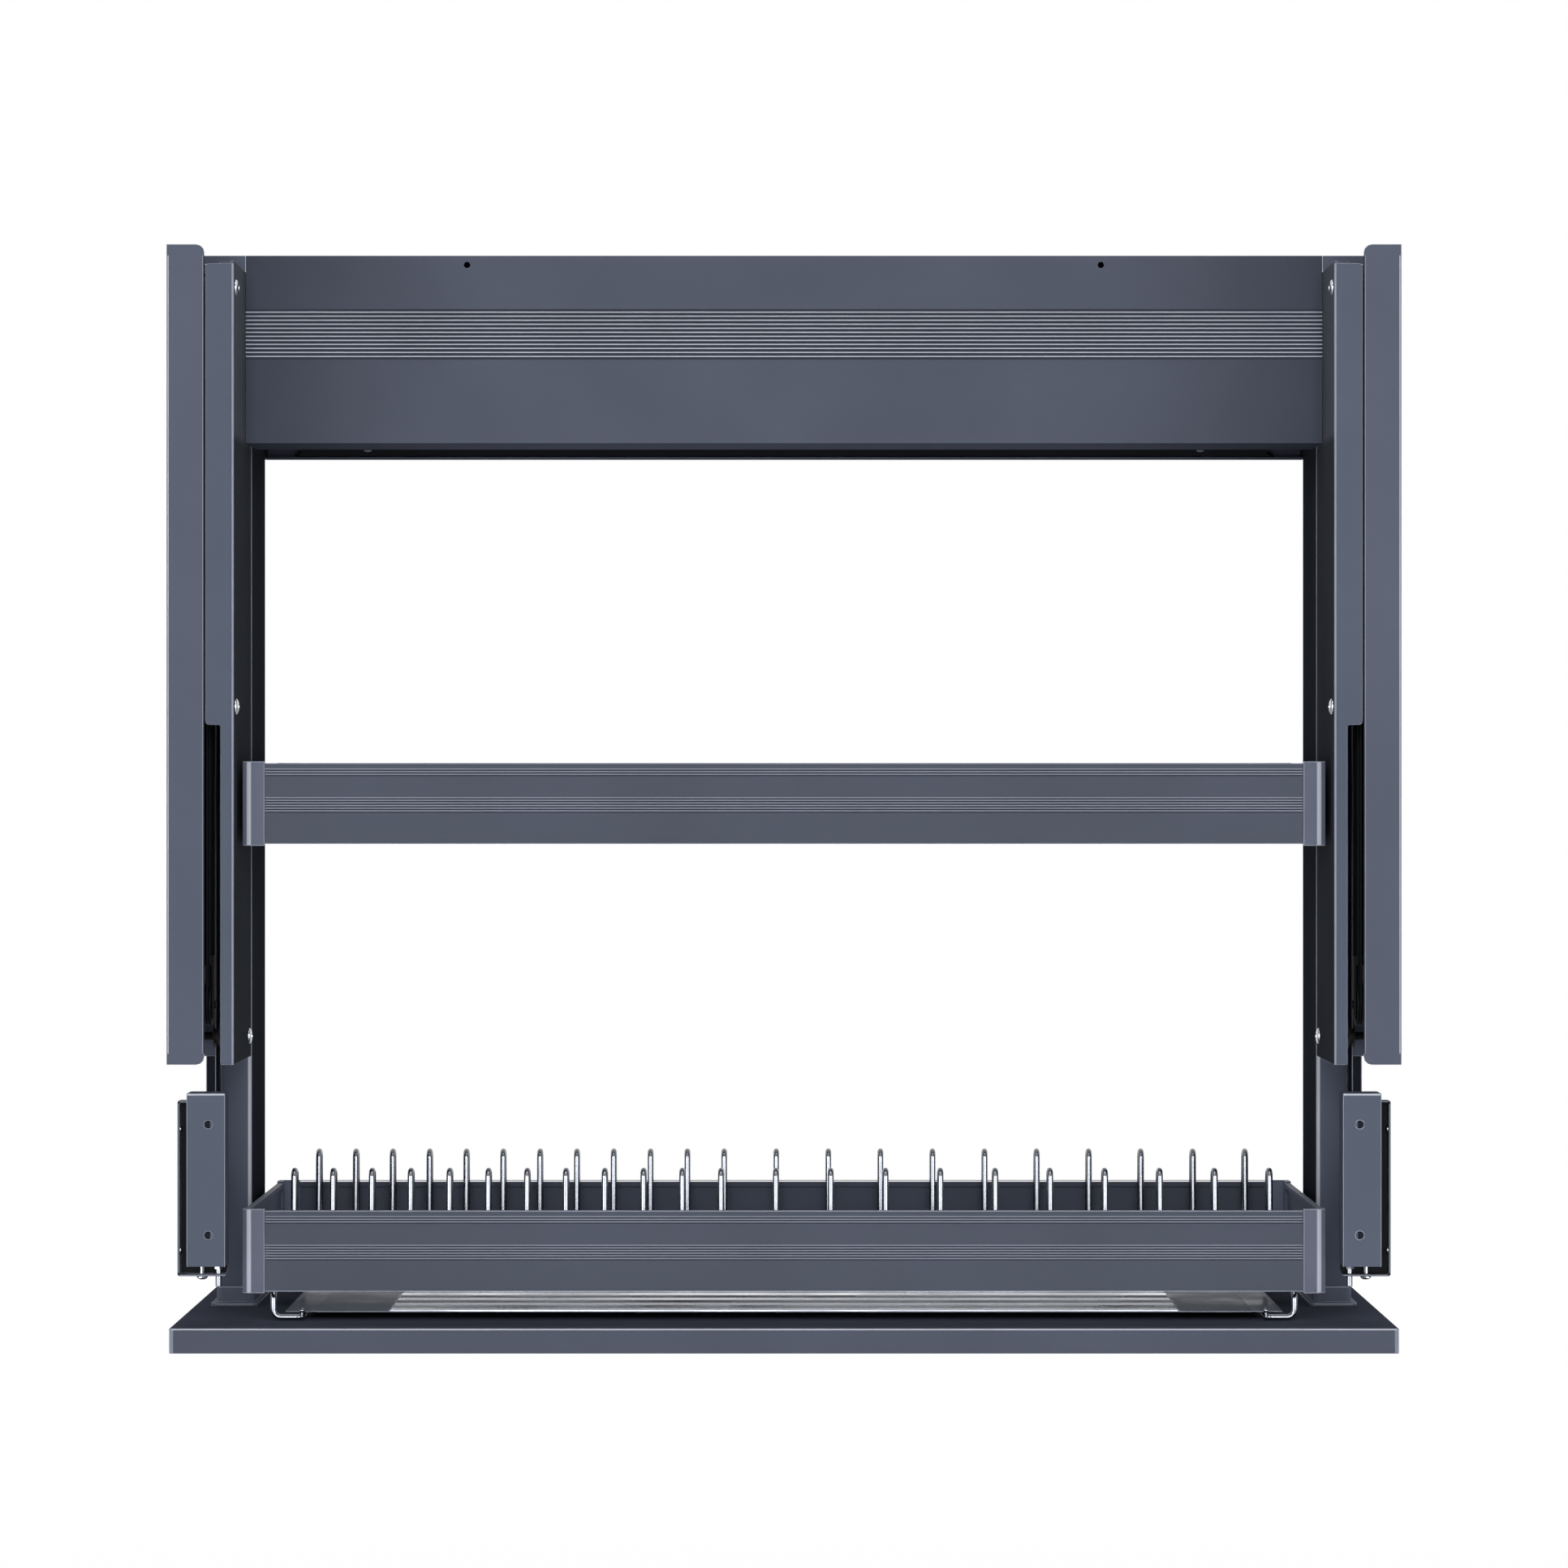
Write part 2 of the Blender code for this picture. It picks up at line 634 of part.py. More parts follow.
def build_cover(label, side):
    """Inner cover folded from one sheet: web, stepped front flange and top flange, with a spring seat."""
    back = HOUSING_REAR
    blank = WEB + FLANGE_WIDTH + CUT_OVERRUN / 2
    inner_bend = COVER_BEND - COVER_SHEET
    plan = [
        ((side * WEB, back), 0.0),
        ((side * WEB, FRONT), COVER_BEND),
        ((side * blank, FRONT), 0.0),
        ((side * blank, FRONT + COVER_SHEET), 0.0),
        ((side * (WEB + COVER_SHEET), FRONT + COVER_SHEET), inner_bend),
        ((side * (WEB + COVER_SHEET), back), 0.0),
    ]
    made = extrude(f"inner_cover_{label}", [rounded(plan)], "Z", HOUSING_BOTTOM, COVER_TOP)
    trim = extrude(
        f"flange_trim_{label}", [flange_trim(side)], "Y", FRONT - CUT_OVERRUN, FRONT + COVER_SHEET * 2
    )
    cut(made, trim)
    half_sheet = COVER_SHEET / 2
    top_flange = side_box(
        f"top_flange_{label}", side, WEB + half_sheet, WEB + TOP_FLANGE_WIDTH,
        (FRONT + TOP_FLANGE_RELIEF, COVER_TOP - COVER_SHEET - half_sheet / 2),
        (back - TOP_FLANGE_RELIEF, COVER_TOP - half_sheet / 2),
    )
    weld(made, top_flange)
    seat_reach = CYLINDER_RADIUS + SEAT_MARGIN
    seat = side_box(
        f"spring_seat_{label}", side, WEB + half_sheet, GEAR + CYLINDER_RADIUS,
        (CYLINDER_Y - seat_reach - SEAT_MARGIN, SEAT_BOTTOM), (CYLINDER_Y + seat_reach, SEAT_TOP),
    )
    weld(made, seat)
    pin = circle((TOP_PULLEY_Y, TOP_PULLEY_HEIGHT), BOLT_RADIUS)
    x_low, x_high = across(side, WEB + half_sheet, GEAR + PULLEY_WIDTH)
    weld(made, extrude(f"top_pulley_pin_{label}", [pin], "X", x_low, x_high))
    for hole in bolt_cutters(
        f"cover_{label}", side, WEB - CUT_OVERRUN, WEB + COVER_SHEET + CUT_OVERRUN, BOLT_RADIUS + RUNNING_GAP
    ):
        cut(made, hole)
    for name, y, radius in (
        ("stud", CYLINDER_Y, STUD_RADIUS),
        ("cable", CYLINDER_Y - MOVING_PULLEY_TRACK, CABLE_RADIUS),
    ):
        outline = circle((side * GEAR, y), radius + RUNNING_GAP, GEAR_SIDES)
        hole = extrude(
            f"seat_{name}_hole_{label}", [outline], "Z", SEAT_BOTTOM - CUT_OVERRUN, SEAT_TOP + CUT_OVERRUN
        )
        cut(made, hole)
    return finish(made, SLATE)


def build_bolts(label, side):
    """Through bolts from the cover to the housing's outer wall, with domed heads."""
    head = WEB - RUNNING_GAP
    length = HALF - head
    dome = [
        (BOLT_HEAD_RADIUS * math.sin(turn), -BOLT_HEAD_HEIGHT * math.cos(turn))
        for turn in (math.pi / 2 * step / ARC_STEPS for step in range(ARC_STEPS + 1))
    ]
    profile = dome + [(BOLT_RADIUS, 0.0), (BOLT_RADIUS, length), (0.0, length)]
    for name, (y, z) in THROUGH_BOLTS.items():
        sided = [(radius, side * along) for radius, along in profile]
        made = turned(f"{name}_bolt_{label}", sided, "X", (side * head, y, z), BOLT_SIDES)
        finish(made, ZINC)


def pulley(name, side, y, z, track, bore, parent, look):
    """A grooved pulley that turns about X, its cable's middle at the track radius."""
    root = track - CABLE_RADIUS - RUNNING_GAP
    rim = track + PULLEY_RIM
    half = PULLEY_WIDTH / 2
    groove = half - PULLEY_FLANGE
    profile = [
        (bore, -half), (rim, -half), (rim, -groove), (root, -groove),
        (root, groove), (rim, groove), (rim, half), (bore, half),
    ]
    made = turned(name, profile, "X", (side * GEAR, y, z), PULLEY_SIDES, ring=True)
    finish(made, look, parent)


def build_gas_spring(label, side):
    """Gas spring: cylinder hung on the cover's seat, and its rod with the moving pulley's yoke."""
    x, y = side * GEAR, CYLINDER_Y
    bore = CYLINDER_RADIUS - CYLINDER_WALL
    rod_hole = ROD_RADIUS + SHAFT_CLEARANCE
    length = CYLINDER_LENGTH
    shoulder = SEAT_BOTTOM - RUNNING_GAP - CYLINDER_BOTTOM
    tip = SEAT_TOP + STUD_LENGTH - CYLINDER_BOTTOM
    roof = shoulder - CYLINDER_WALL * 2
    profile = [
        (rod_hole, 0.0), (CYLINDER_RADIUS, 0.0), (CYLINDER_RADIUS, shoulder),
        (STUD_RADIUS, shoulder), (STUD_RADIUS, tip), (0.0, tip),
    ]
    inside = [(0.0, roof), (bore, roof), (bore, GLAND_LENGTH), (rod_hole, GLAND_LENGTH), (rod_hole, 0.0)]
    made = turned(
        f"gas_cylinder_{label}", inside + profile[1:], "Z", (x, y, CYLINDER_BOTTOM), GEAR_SIDES
    )
    finish(made, DARK)
    travel = empty(f"gas_rod_slide_{label}", (x, y, MOVING_PULLEY_HEIGHT))
    bridge_top = MOVING_PULLEY_HEIGHT + YOKE_RISE + YOKE_BRIDGE
    bridge_bottom = bridge_top - YOKE_BRIDGE
    piston_low = CYLINDER_BOTTOM + GLAND_LENGTH + RUNNING_GAP
    piston_high = piston_low + PISTON_LENGTH
    base = bridge_bottom + YOKE_BRIDGE / 2
    piston = bore - PISTON_GAP
    rod_profile = [
        (0.0, base), (ROD_RADIUS, base), (ROD_RADIUS, piston_low), (piston, piston_low),
        (piston, piston_high), (0.0, piston_high),
    ]
    rod_profile = [(radius, along - MOVING_PULLEY_HEIGHT) for radius, along in rod_profile]
    rod = turned(f"gas_rod_{label}", rod_profile, "Z", (x, y, MOVING_PULLEY_HEIGHT), GEAR_SIDES)
    cheek_in = PULLEY_WIDTH / 2 + RUNNING_GAP
    cheek_out = cheek_in + YOKE_CHEEK
    yoke = [
        (x - cheek_out, MOVING_PULLEY_HEIGHT - YOKE_DROP), (x - cheek_in, MOVING_PULLEY_HEIGHT - YOKE_DROP),
        (x - cheek_in, bridge_bottom), (x + cheek_in, bridge_bottom),
        (x + cheek_in, MOVING_PULLEY_HEIGHT - YOKE_DROP), (x + cheek_out, MOVING_PULLEY_HEIGHT - YOKE_DROP),
        (x + cheek_out, bridge_top), (x - cheek_out, bridge_top),
    ]
    weld(rod, extrude(f"yoke_{label}", [yoke], "Y", y - YOKE_DEPTH / 2, y + YOKE_DEPTH / 2))
    pin_half = cheek_out + YOKE_CHEEK / 2
    pin = circle((y, MOVING_PULLEY_HEIGHT), BOLT_RADIUS)
    weld(rod, extrude(f"yoke_pin_{label}", [pin], "X", x - pin_half, x + pin_half))
    finish(rod, DARK, travel)
    spin = empty(f"moving_pulley_spin_{label}", (x, y, MOVING_PULLEY_HEIGHT), travel)
    bore_radius = BOLT_RADIUS + SHAFT_CLEARANCE
    pulley(
        f"moving_pulley_{label}", side, y, MOVING_PULLEY_HEIGHT, MOVING_PULLEY_TRACK, bore_radius, spin,
        BLACK_PLASTIC,
    )


def build_fixed_pulleys(label, side):
    """Top pulley on the cover's pin, and the buffer on the lower bolt that stops the carriage's lug."""
    bore = BOLT_RADIUS + SHAFT_CLEARANCE
    y, z = TOP_PULLEY_Y, TOP_PULLEY_HEIGHT
    spin = empty(f"top_pulley_spin_{label}", (side * GEAR, y, z))
    pulley(f"top_pulley_{label}", side, y, z, TOP_PULLEY_TRACK, bore, spin, BLACK_PLASTIC)
    y, z = THROUGH_BOLTS["lower"]
    pulley(f"lower_buffer_{label}", side, y, z, BUFFER_TRACK, bore, None, BLACK_PLASTIC)


def arc_in_gear_plane(side, y, z, radius, start, end, steps):
    """Points of an arc in the pulleys' plane, from one angle to another about X."""
    turns = (start + (end - start) * step / steps for step in range(steps + 1))
    return [(side * GEAR, y + radius * math.cos(t), z + radius * math.sin(t)) for t in turns]


def build_cable(label, side):
    """Lifting cable: down from the seat, round the moving pulley, over the top pulley to the lug."""
    x = side * GEAR
    start = (x, CYLINDER_Y - MOVING_PULLEY_TRACK, SEAT_TOP + CABLE_END_LENGTH)
    under = arc_in_gear_plane(
        side, CYLINDER_Y, MOVING_PULLEY_HEIGHT, MOVING_PULLEY_TRACK, math.pi, math.tau, SMALL_SIDES
    )
    over = arc_in_gear_plane(
        side, TOP_PULLEY_Y, TOP_PULLEY_HEIGHT, TOP_PULLEY_TRACK, math.pi, 0.0, SMALL_SIDES
    )
    end = (x, CABLE_DROP_Y, LUG_TOP + RUNNING_GAP)
    made = wires(f"lift_cable_{label}", [[start] + under + over + [end]], CABLE_RADIUS)
    finish(made, STAINLESS)


def build_guide_rail(label, side):
    """Guide rail: a lipped channel, its mouth towards the middle of the rack."""
    sheet = GUIDE_SHEET
    plan = [
        (GUIDE_INNER, GUIDE_FRONT), (GUIDE_OUTER, GUIDE_FRONT), (GUIDE_OUTER, GUIDE_BACK),
        (GUIDE_INNER, GUIDE_BACK), (GUIDE_INNER, GUIDE_BACK - GUIDE_LIP),
        (GUIDE_INNER + sheet, GUIDE_BACK - GUIDE_LIP), (GUIDE_INNER + sheet, GUIDE_BACK - sheet),
        (GUIDE_OUTER - sheet, GUIDE_BACK - sheet), (GUIDE_OUTER - sheet, GUIDE_FRONT + sheet),
        (GUIDE_INNER + sheet, GUIDE_FRONT + sheet), (GUIDE_INNER + sheet, GUIDE_FRONT + GUIDE_LIP),
        (GUIDE_INNER, GUIDE_FRONT + GUIDE_LIP),
    ]
    outline = [(side * x, y) for x, y in plan]
    finish(extrude(f"guide_rail_{label}", [outline], "Z", GUIDE_BOTTOM, GUIDE_TOP), ZINC)


def build_carriage(label, side, parent):
    """Carriage: a plate inside the guide rail, a neck through its mouth and a block on the post."""
    gap = RUNNING_GAP
    plate_out = GUIDE_OUTER - GUIDE_SHEET - gap
    plate_in = GUIDE_INNER + GUIDE_SHEET + gap
    neck_front = GUIDE_FRONT + GUIDE_LIP + gap
    neck_back = GUIDE_BACK - GUIDE_LIP - gap
    block_out = GUIDE_INNER - gap
    block_in = POST_INNER + CARRIAGE_INNER_INSET
    block_back = POST_FRONT - gap
    plan = [
        (plate_out, GUIDE_FRONT + GUIDE_SHEET + gap), (plate_out, GUIDE_BACK - GUIDE_SHEET - gap),
        (plate_in, GUIDE_BACK - GUIDE_SHEET - gap), (plate_in, neck_back), (block_out, neck_back),
        (block_out, block_back), (block_in, block_back), (block_in, neck_front + CARRIAGE_CHAMFER),
        (block_in + CARRIAGE_CHAMFER, neck_front), (plate_in, neck_front),
        (plate_in, GUIDE_FRONT + GUIDE_SHEET + gap),
    ]
    outline = [(side * x, y) for x, y in plan]
    bottom = CARRIAGE_TOP - CARRIAGE_LENGTH
    made = extrude(f"carriage_{label}", [outline], "Z", bottom, CARRIAGE_TOP)
    lug = side_box(
        f"cable_lug_{label}", side, GEAR - LUG_WIDTH / 2, GEAR + LUG_WIDTH / 2,
        (CABLE_DROP_Y - LUG_WIDTH, LUG_TOP - LUG_HEIGHT),
        (neck_front + CARRIAGE_CHAMFER / 2, LUG_TOP),
    )
    weld(made, lug)
    finish(made, BLACK_PLASTIC, parent)


def post_outline(side, grow=0.0):
    """The post's outer outline seen from above, grown by a clearance if need be."""
    inner, outer = POST_INNER - grow, POST_OUTER + grow
    front, rear = POST_FRONT - grow, POST_REAR + grow
    small = POST_CORNER / 2 + grow
    corners = [
        ((side * inner, front), POST_CORNER + grow),
        ((side * outer, front), small),
        ((side * outer, rear), small),
        ((side * inner, rear), small),
    ]
    if not grow:
        for index in (2, 1):
            y = POST_REAR - POST_GROOVE_BACK - POST_GROOVE_PITCH * (2 - index)
            corners += [
                ((side * inner, y + POST_GROOVE / 2), 0.0),
                ((side * (inner + POST_GROOVE), y), 0.0),
                ((side * inner, y - POST_GROOVE / 2), 0.0),
            ]
    return rounded(corners)


def build_post(label, side, parent):
    """Post: a hollow extrusion with two chambers, a rounded front edge and two grooves at the back."""
    wall = POST_WALL + POST_GROOVE
    rib = POST_FRONT + POST_DEPTH * POST_RIB_SHARE
    rooms = []
    for front, rear in (
        (POST_FRONT + POST_WALL, rib - POST_WALL / 2), (rib + POST_WALL / 2, POST_REAR - POST_WALL)
    ):
        x_low, x_high = across(side, POST_INNER + wall, POST_OUTER - POST_WALL)
        rooms.append(rectangle((x_low, front), (x_high, rear)))
    section = [post_outline(side), *rooms]
    made = extrude(f"post_{label}", section, "Z", POST_BOTTOM, RACK_HEIGHT - POST_TOP_DROP)
    finish(made, SLATE, parent)


def build_post_foot(label, side, parent):
    """Post foot: a flange on the bottom panel with a collar that the post stands in."""
    inner = POST_INNER - FOOT_INNER_LEAD
    front = POST_FRONT - FOOT_FRONT_LEAD
    x_low, x_high = across(side, inner, inner + FOOT_WIDTH)
    outline = rectangle((x_low, front), (x_high, front + FOOT_DEPTH), FOOT_CORNER)
    made = extrude(f"post_foot_{label}", [outline], "Z", FOOT_BOTTOM, FOOT_TOP)
    ring = [post_outline(side, RUNNING_GAP + COLLAR_WALL), post_outline(side, RUNNING_GAP)]
    collar = extrude(f"collar_{label}", ring, "Z", FOOT_TOP - FOOT_SHEET / 2, FOOT_TOP + COLLAR_HEIGHT)
    weld(made, collar)
    finish(made, SLATE, parent)


def build_panel(parent):
    """Bottom panel: a coated board with eased edges."""
    half = HALF - PANEL_SIDE_CLEARANCE
    made = box("bottom_panel", (-half, FRONT, 0.0), (half, -FRONT, PANEL_THICKNESS))
    bevel = made.modifiers.new("eased_edges", "BEVEL")
    bevel.width = PANEL_EDGE
    bevel.segments = 2
    finish(made, SLATE, parent)


def rail_profile(bottom):
    """The basket rail's section as (distance in from the outer face, height)."""
    top = bottom + RAIL_HEIGHT
    ledge = bottom + RAIL_LEDGE_RISE
    face = []
    for count, drop in ((UPPER_GROOVE_COUNT, UPPER_GROOVES_DROP), (LOWER_GROOVE_COUNT, LOWER_GROOVES_DROP)):
        for index in range(count):
            z = top - drop - GROOVE_PITCH * index
            face += [(0.0, z + GROOVE_WIDTH / 2), (GROOVE_DEPTH, z), (0.0, z - GROOVE_WIDTH / 2)]
    inside = [
        (0.0, bottom), (RAIL_WALL, bottom), (RAIL_WALL, ledge), (RAIL_LEDGE_WIDTH, ledge),
        (RAIL_LEDGE_WIDTH, ledge + RAIL_LEDGE_SHEET), (RAIL_WALL, ledge + RAIL_LEDGE_SHEET),
        (RAIL_WALL, top - RAIL_BEAD_HEIGHT), (RAIL_BEAD_WIDTH, top - RAIL_BEAD_HEIGHT),
        (RAIL_BEAD_WIDTH, top), (0.0, top),
    ]
    return inside + face


def corner_outline(side, y_face, inwards):
    """A corner piece seen from above, its outer corner rounded; inwards is +1 at the front."""
    x_face = BASKET_HALF
    back = y_face + inwards * CORNER_LENGTH
    thin = y_face + inwards * CORNER_THICKNESS
    corners = [
        ((side * (x_face - CORNER_LENGTH), y_face), 0.0),
        ((side * x_face, y_face), CORNER_RADIUS),
        ((side * x_face, back), 0.0),
        ((side * (x_face - CORNER_THICKNESS), back), 0.0),
        ((side * (x_face - CORNER_THICKNESS), thin), 0.0),
        ((side * (x_face - CORNER_LENGTH), thin), 0.0),
    ]
    return rounded(corners, steps=ARC_STEPS + 1)


def build_basket(label, bottom, parent):
    """One basket: front, back and side rails of the same extrusion and a piece at each corner."""
    section = rail_profile(bottom)
    low, high = bottom - CORNER_TALLER, bottom + RAIL_HEIGHT + CORNER_TALLER
    reach = BASKET_HALF - CORNER_LENGTH
    front_section = [(BASKET_FACE + CORNER_PROUD + depth, z) for depth, z in section]
    rear_section = [(BASKET_REAR - CORNER_PROUD - depth, z) for depth, z in section]
    front = extrude(f"{label}_front_rail", [front_section], "X", RUNNING_GAP - reach, reach - RUNNING_GAP)
    finish(front, SLATE, parent)
    overlap = reach + WELD_OVERLAP
    rear = extrude(f"{label}_back_rail", [rear_section], "X", -overlap, overlap)
    for name, side in SIDES.items():
        cap = corner_outline(side, BASKET_REAR, -1)
        weld(rear, extrude(f"{label}_back_corner_{name}", [cap], "Z", low, high))
        cap = corner_outline(side, BASKET_FACE, 1)
        finish(extrude(f"{label}_front_corner_{name}", [cap], "Z", low, high), SLATE, parent)
        side_section = [(side * (BASKET_HALF - CORNER_PROUD - depth), z) for depth, z in section]
        inset = CORNER_LENGTH + RUNNING_GAP
        rail = extrude(
            f"{label}_side_rail_{name}", [side_section], "Y", BASKET_FACE + inset, BASKET_REAR - inset
        )
        arm_front = POST_FRONT + ARM_FRONT_LEAD
        arm_rear = BASKET_REAR - CORNER_LENGTH - ARM_REAR_MARGIN
        arm_low = bottom + (RAIL_HEIGHT - ARM_HEIGHT) / 2
        arm = side_box(
            f"{label}_arm_{name}", side, BASKET_HALF - CORNER_PROUD - RAIL_WALL * ARM_ROOT_SHARE,
            POST_INNER - RUNNING_GAP, (arm_front, arm_low), (arm_rear, arm_low + ARM_HEIGHT),
        )
        weld(rail, arm)
        finish(rail, SLATE, parent)
    finish(rear, SLATE, parent)


def build_shelf_grid(parent):
    """Wire grid on the upper basket's ledges: two edge rods and the wires between them."""
    z = SHELF_BOTTOM + LEDGE_TOP_RISE + RUNNING_GAP + GRID_ROD_RADIUS
    clear = CORNER_PROUD + RAIL_WALL + GRID_MARGIN
    half = BASKET_HALF - clear
    front = BASKET_FACE + clear + GRID_ROD_RADIUS
    rear = BASKET_REAR - clear - GRID_ROD_RADIUS
    rods = [[(-half, y, z), (half, y, z)] for y in (front, rear)]
    made = wires("shelf_grid", rods, GRID_ROD_RADIUS)
    count = int((half - GRID_WIRE_PITCH / 2) / GRID_WIRE_PITCH)
    places = [GRID_WIRE_PITCH * index for index in range(-count, count + 1)]
    across_wires = [[(x, front, z), (x, rear, z)] for x in places]
    weld(made, wires("shelf_grid_wires", across_wires, GRID_WIRE_RADIUS))
    finish(made, STAINLESS, parent)


def loop_places():
    """Where the plate loops stand along X, closely set first."""
    start = -(BASKET_HALF - ROW_LEFT_MARGIN)
    end = start + CLOSE_PITCH * (CLOSE_COUNT - 1)
    close = [start + CLOSE_PITCH * index for index in range(CLOSE_COUNT)]
    return close + [end + WIDE_PITCH * (index + 1) for index in range(WIDE_COUNT)]


def loop_path(x, y, foot):
    """One upright loop, leaning in from its feet to a round head."""
    wide, slim = LOOP_FOOT_DEPTH / 2, LOOP_HEAD_DEPTH / 2
    top = LOOP_TOP - LOOP_RADIUS
    corners = [
        ((x, y - wide, foot), 0.0), ((x, y - slim, top), slim * 0.9),
        ((x, y + slim, top), slim * 0.9), ((x, y + wide, foot), 0.0),
    ]
    return rounded(corners, steps=2, cyclic=False)


def build_plate_rows(parent):
    """Plate rows: each one a line of loops on two long rods that lie on the side rails' ledges."""
    z = LOWER_BASKET_BOTTOM + LEDGE_TOP_RISE + RUNNING_GAP + RACK_ROD_RADIUS
    half = BASKET_HALF - CORNER_PROUD - RAIL_WALL - GRID_MARGIN
    wide = LOOP_FOOT_DEPTH / 2
    for name, depth in (("front", FRONT_ROW_DEPTH), ("back", BACK_ROW_DEPTH)):
        row = FRONT + depth
        rods = [[(-half, y, z), (half, y, z)] for y in (row - wide, row + wide)]
        made = wires(f"{name}_plate_row", rods, RACK_ROD_RADIUS)
        loops = [loop_path(x, row, z) for x in loop_places()]
        weld(made, wires(f"{name}_plate_row_loops", loops, LOOP_RADIUS))
        finish(made, STAINLESS, parent)


def build_tray_runner(label, side, parent):
    """Tray runner: a closed wire that hangs below the basket, with a stop at the tray's front edge."""
    front, rear = FRONT + RUNNER_FRONT, BASKET_REAR - CORNER_LENGTH
    outer, inner = side * RUNNER_OUTER, side * RUNNER_INNER
    corners = [
        (outer, front, RUNNER_TOP), (outer, front, RUNNER_BOTTOM), (inner, front, RUNNER_BOTTOM),
        (inner, rear, RUNNER_BOTTOM), (outer, rear, RUNNER_BOTTOM), (outer, rear, RUNNER_TOP),
    ]
    path = rounded([(corner, RUNNER_BEND) for corner in corners])
    made = wires(f"tray_runner_{label}", [path], RUNNER_RADIUS, resolution=2, cyclic=True)
    stop = [
        (0.0, 0.0), (STOP_STEM_RADIUS, 0.0), (STOP_STEM_RADIUS, STOP_RISE - STOP_RADIUS),
        (STOP_RADIUS, STOP_RISE), (STOP_STEM_RADIUS, STOP_RISE + STOP_RADIUS * 0.8),
        (0.0, STOP_RISE + STOP_RADIUS),
    ]
    place = (inner, front + RUNNER_BEND - STOP_RADIUS * 2.5, RUNNER_BOTTOM)
    weld(made, turned(f"tray_stop_{label}", stop, "Z", place, SMALL_SIDES))
    finish(made, STAINLESS, parent)


def build_drip_tray(parent):
    """Drip tray: a thin sheet with a low rim and raised ribs across its middle."""
    half = RUNNER_INNER + TRAY_OVERHANG
    front = FRONT + RUNNER_FRONT + TRAY_FRONT_LEAD
    rear = BASKET_REAR - CORNER_LENGTH - TRAY_BACK_MARGIN
    outline = rectangle((-half, front), (half, rear), TRAY_CORNER)
    made = extrude("drip_tray", [outline], "Z", TRAY_BOTTOM, TRAY_BOTTOM + TRAY_SHEET)
    rim = TRAY_RIM_WIDTH
    inside = rectangle((-half + rim, front + rim), (half - rim, rear - rim), TRAY_CORNER - rim)
    sheet_middle = TRAY_BOTTOM + TRAY_SHEET / 2
    rim_top = TRAY_BOTTOM + TRAY_SHEET + TRAY_RIM
    weld(made, extrude("drip_tray_rim", [outline, inside], "Z", sheet_middle, rim_top))
    for index in range(TRAY_RIB_COUNT):
        y = front + TRAY_RIB_LEAD + TRAY_RIB_PITCH * index
        section = [
            (y + TRAY_RIB_WIDTH / 2 * math.cos(turn), sheet_middle + TRAY_RIB_HEIGHT * math.sin(turn))
            for turn in (math.pi * step / (2 * ARC_STEPS) for step in range(2 * ARC_STEPS + 1))
        ]
        rib = extrude(f"drip_tray_rib_{index}", [section], "X", -TRAY_RIB_HALF_LENGTH, TRAY_RIB_HALF_LENGTH)
        weld(made, rib)
    finish(made, STAINLESS, parent)


def build_fascia():
    """Fascia: an extrusion with ribs on its face, a top flange and a deep bottom flange."""
    face = TOP_BOX_FRONT
    top, bottom, sheet = TOP_BOX_TOP, TOP_BOX_BOTTOM, FASCIA_SHEET
    section = [
        (face, bottom), (face + FASCIA_BOTTOM_FLANGE, bottom), (face + FASCIA_BOTTOM_FLANGE, bottom + sheet),
        (face + sheet, bottom + sheet), (face + sheet, top - sheet), (face + FASCIA_TOP_FLANGE, top - sheet),
        (face + FASCIA_TOP_FLANGE, top), (face, top),
    ]
    for index in range(FASCIA_RIB_COUNT):
        z = top - FASCIA_RIBS_DROP - FASCIA_RIB_PITCH * index
        proud = face - FASCIA_RIB_HEIGHT
        quarter = FASCIA_RIB_WIDTH / 4
        section += [
            (face, z + FASCIA_RIB_WIDTH / 2), (proud, z + quarter), (proud, z - quarter),
            (face, z - FASCIA_RIB_WIDTH / 2),
        ]
    made = extrude("top_fascia", [section], "X", -TOP_BOX_HALF, TOP_BOX_HALF)
    for label, side in SIDES.items():
        place = (side * FASCIA_HOLE_X, top - FASCIA_HOLE_DROP)
        outline = circle(place, FASCIA_HOLE_RADIUS, MOUNT_HOLE_SIDES)
        cut(made, extrude(f"fascia_hole_{label}", [outline], "Y", face - CUT_OVERRUN, face + CUT_OVERRUN))
    finish(made, SLATE)


def build_top_shell():
    """Rear shell of the top box: top sheet, back wall and a lip for the pan."""
    front = TOP_BOX_FRONT + FASCIA_TOP_FLANGE + RUNNING_GAP
    back = FRONT + TOP_BOX_BACK
    top, bottom, sheet = TOP_BOX_TOP, TOP_BOX_BOTTOM, SHELL_SHEET
    section = [
        ((front, top), 0.0), ((back, top), COVER_BEND), ((back, bottom), COVER_BEND),
        ((back - SHELL_BACK_LIP, bottom), 0.0), ((back - SHELL_BACK_LIP, bottom + sheet), 0.0),
        ((back - sheet, bottom + sheet), COVER_BEND - sheet),
        ((back - sheet, top - sheet), COVER_BEND - sheet),
        ((front, top - sheet), 0.0),
    ]
    half = POST_INNER - RUNNING_GAP
    made = extrude("top_shell", [rounded(section)], "X", -half, half)
    for label, side in SIDES.items():
        cut(made, side_box(
            f"shell_end_{label}", side, TOP_BOX_HALF, half + CUT_OVERRUN,
            (front - CUT_OVERRUN, bottom), (HOUSING_REAR + RUNNING_GAP, top + CUT_OVERRUN),
        ))
    finish(made, SLATE)


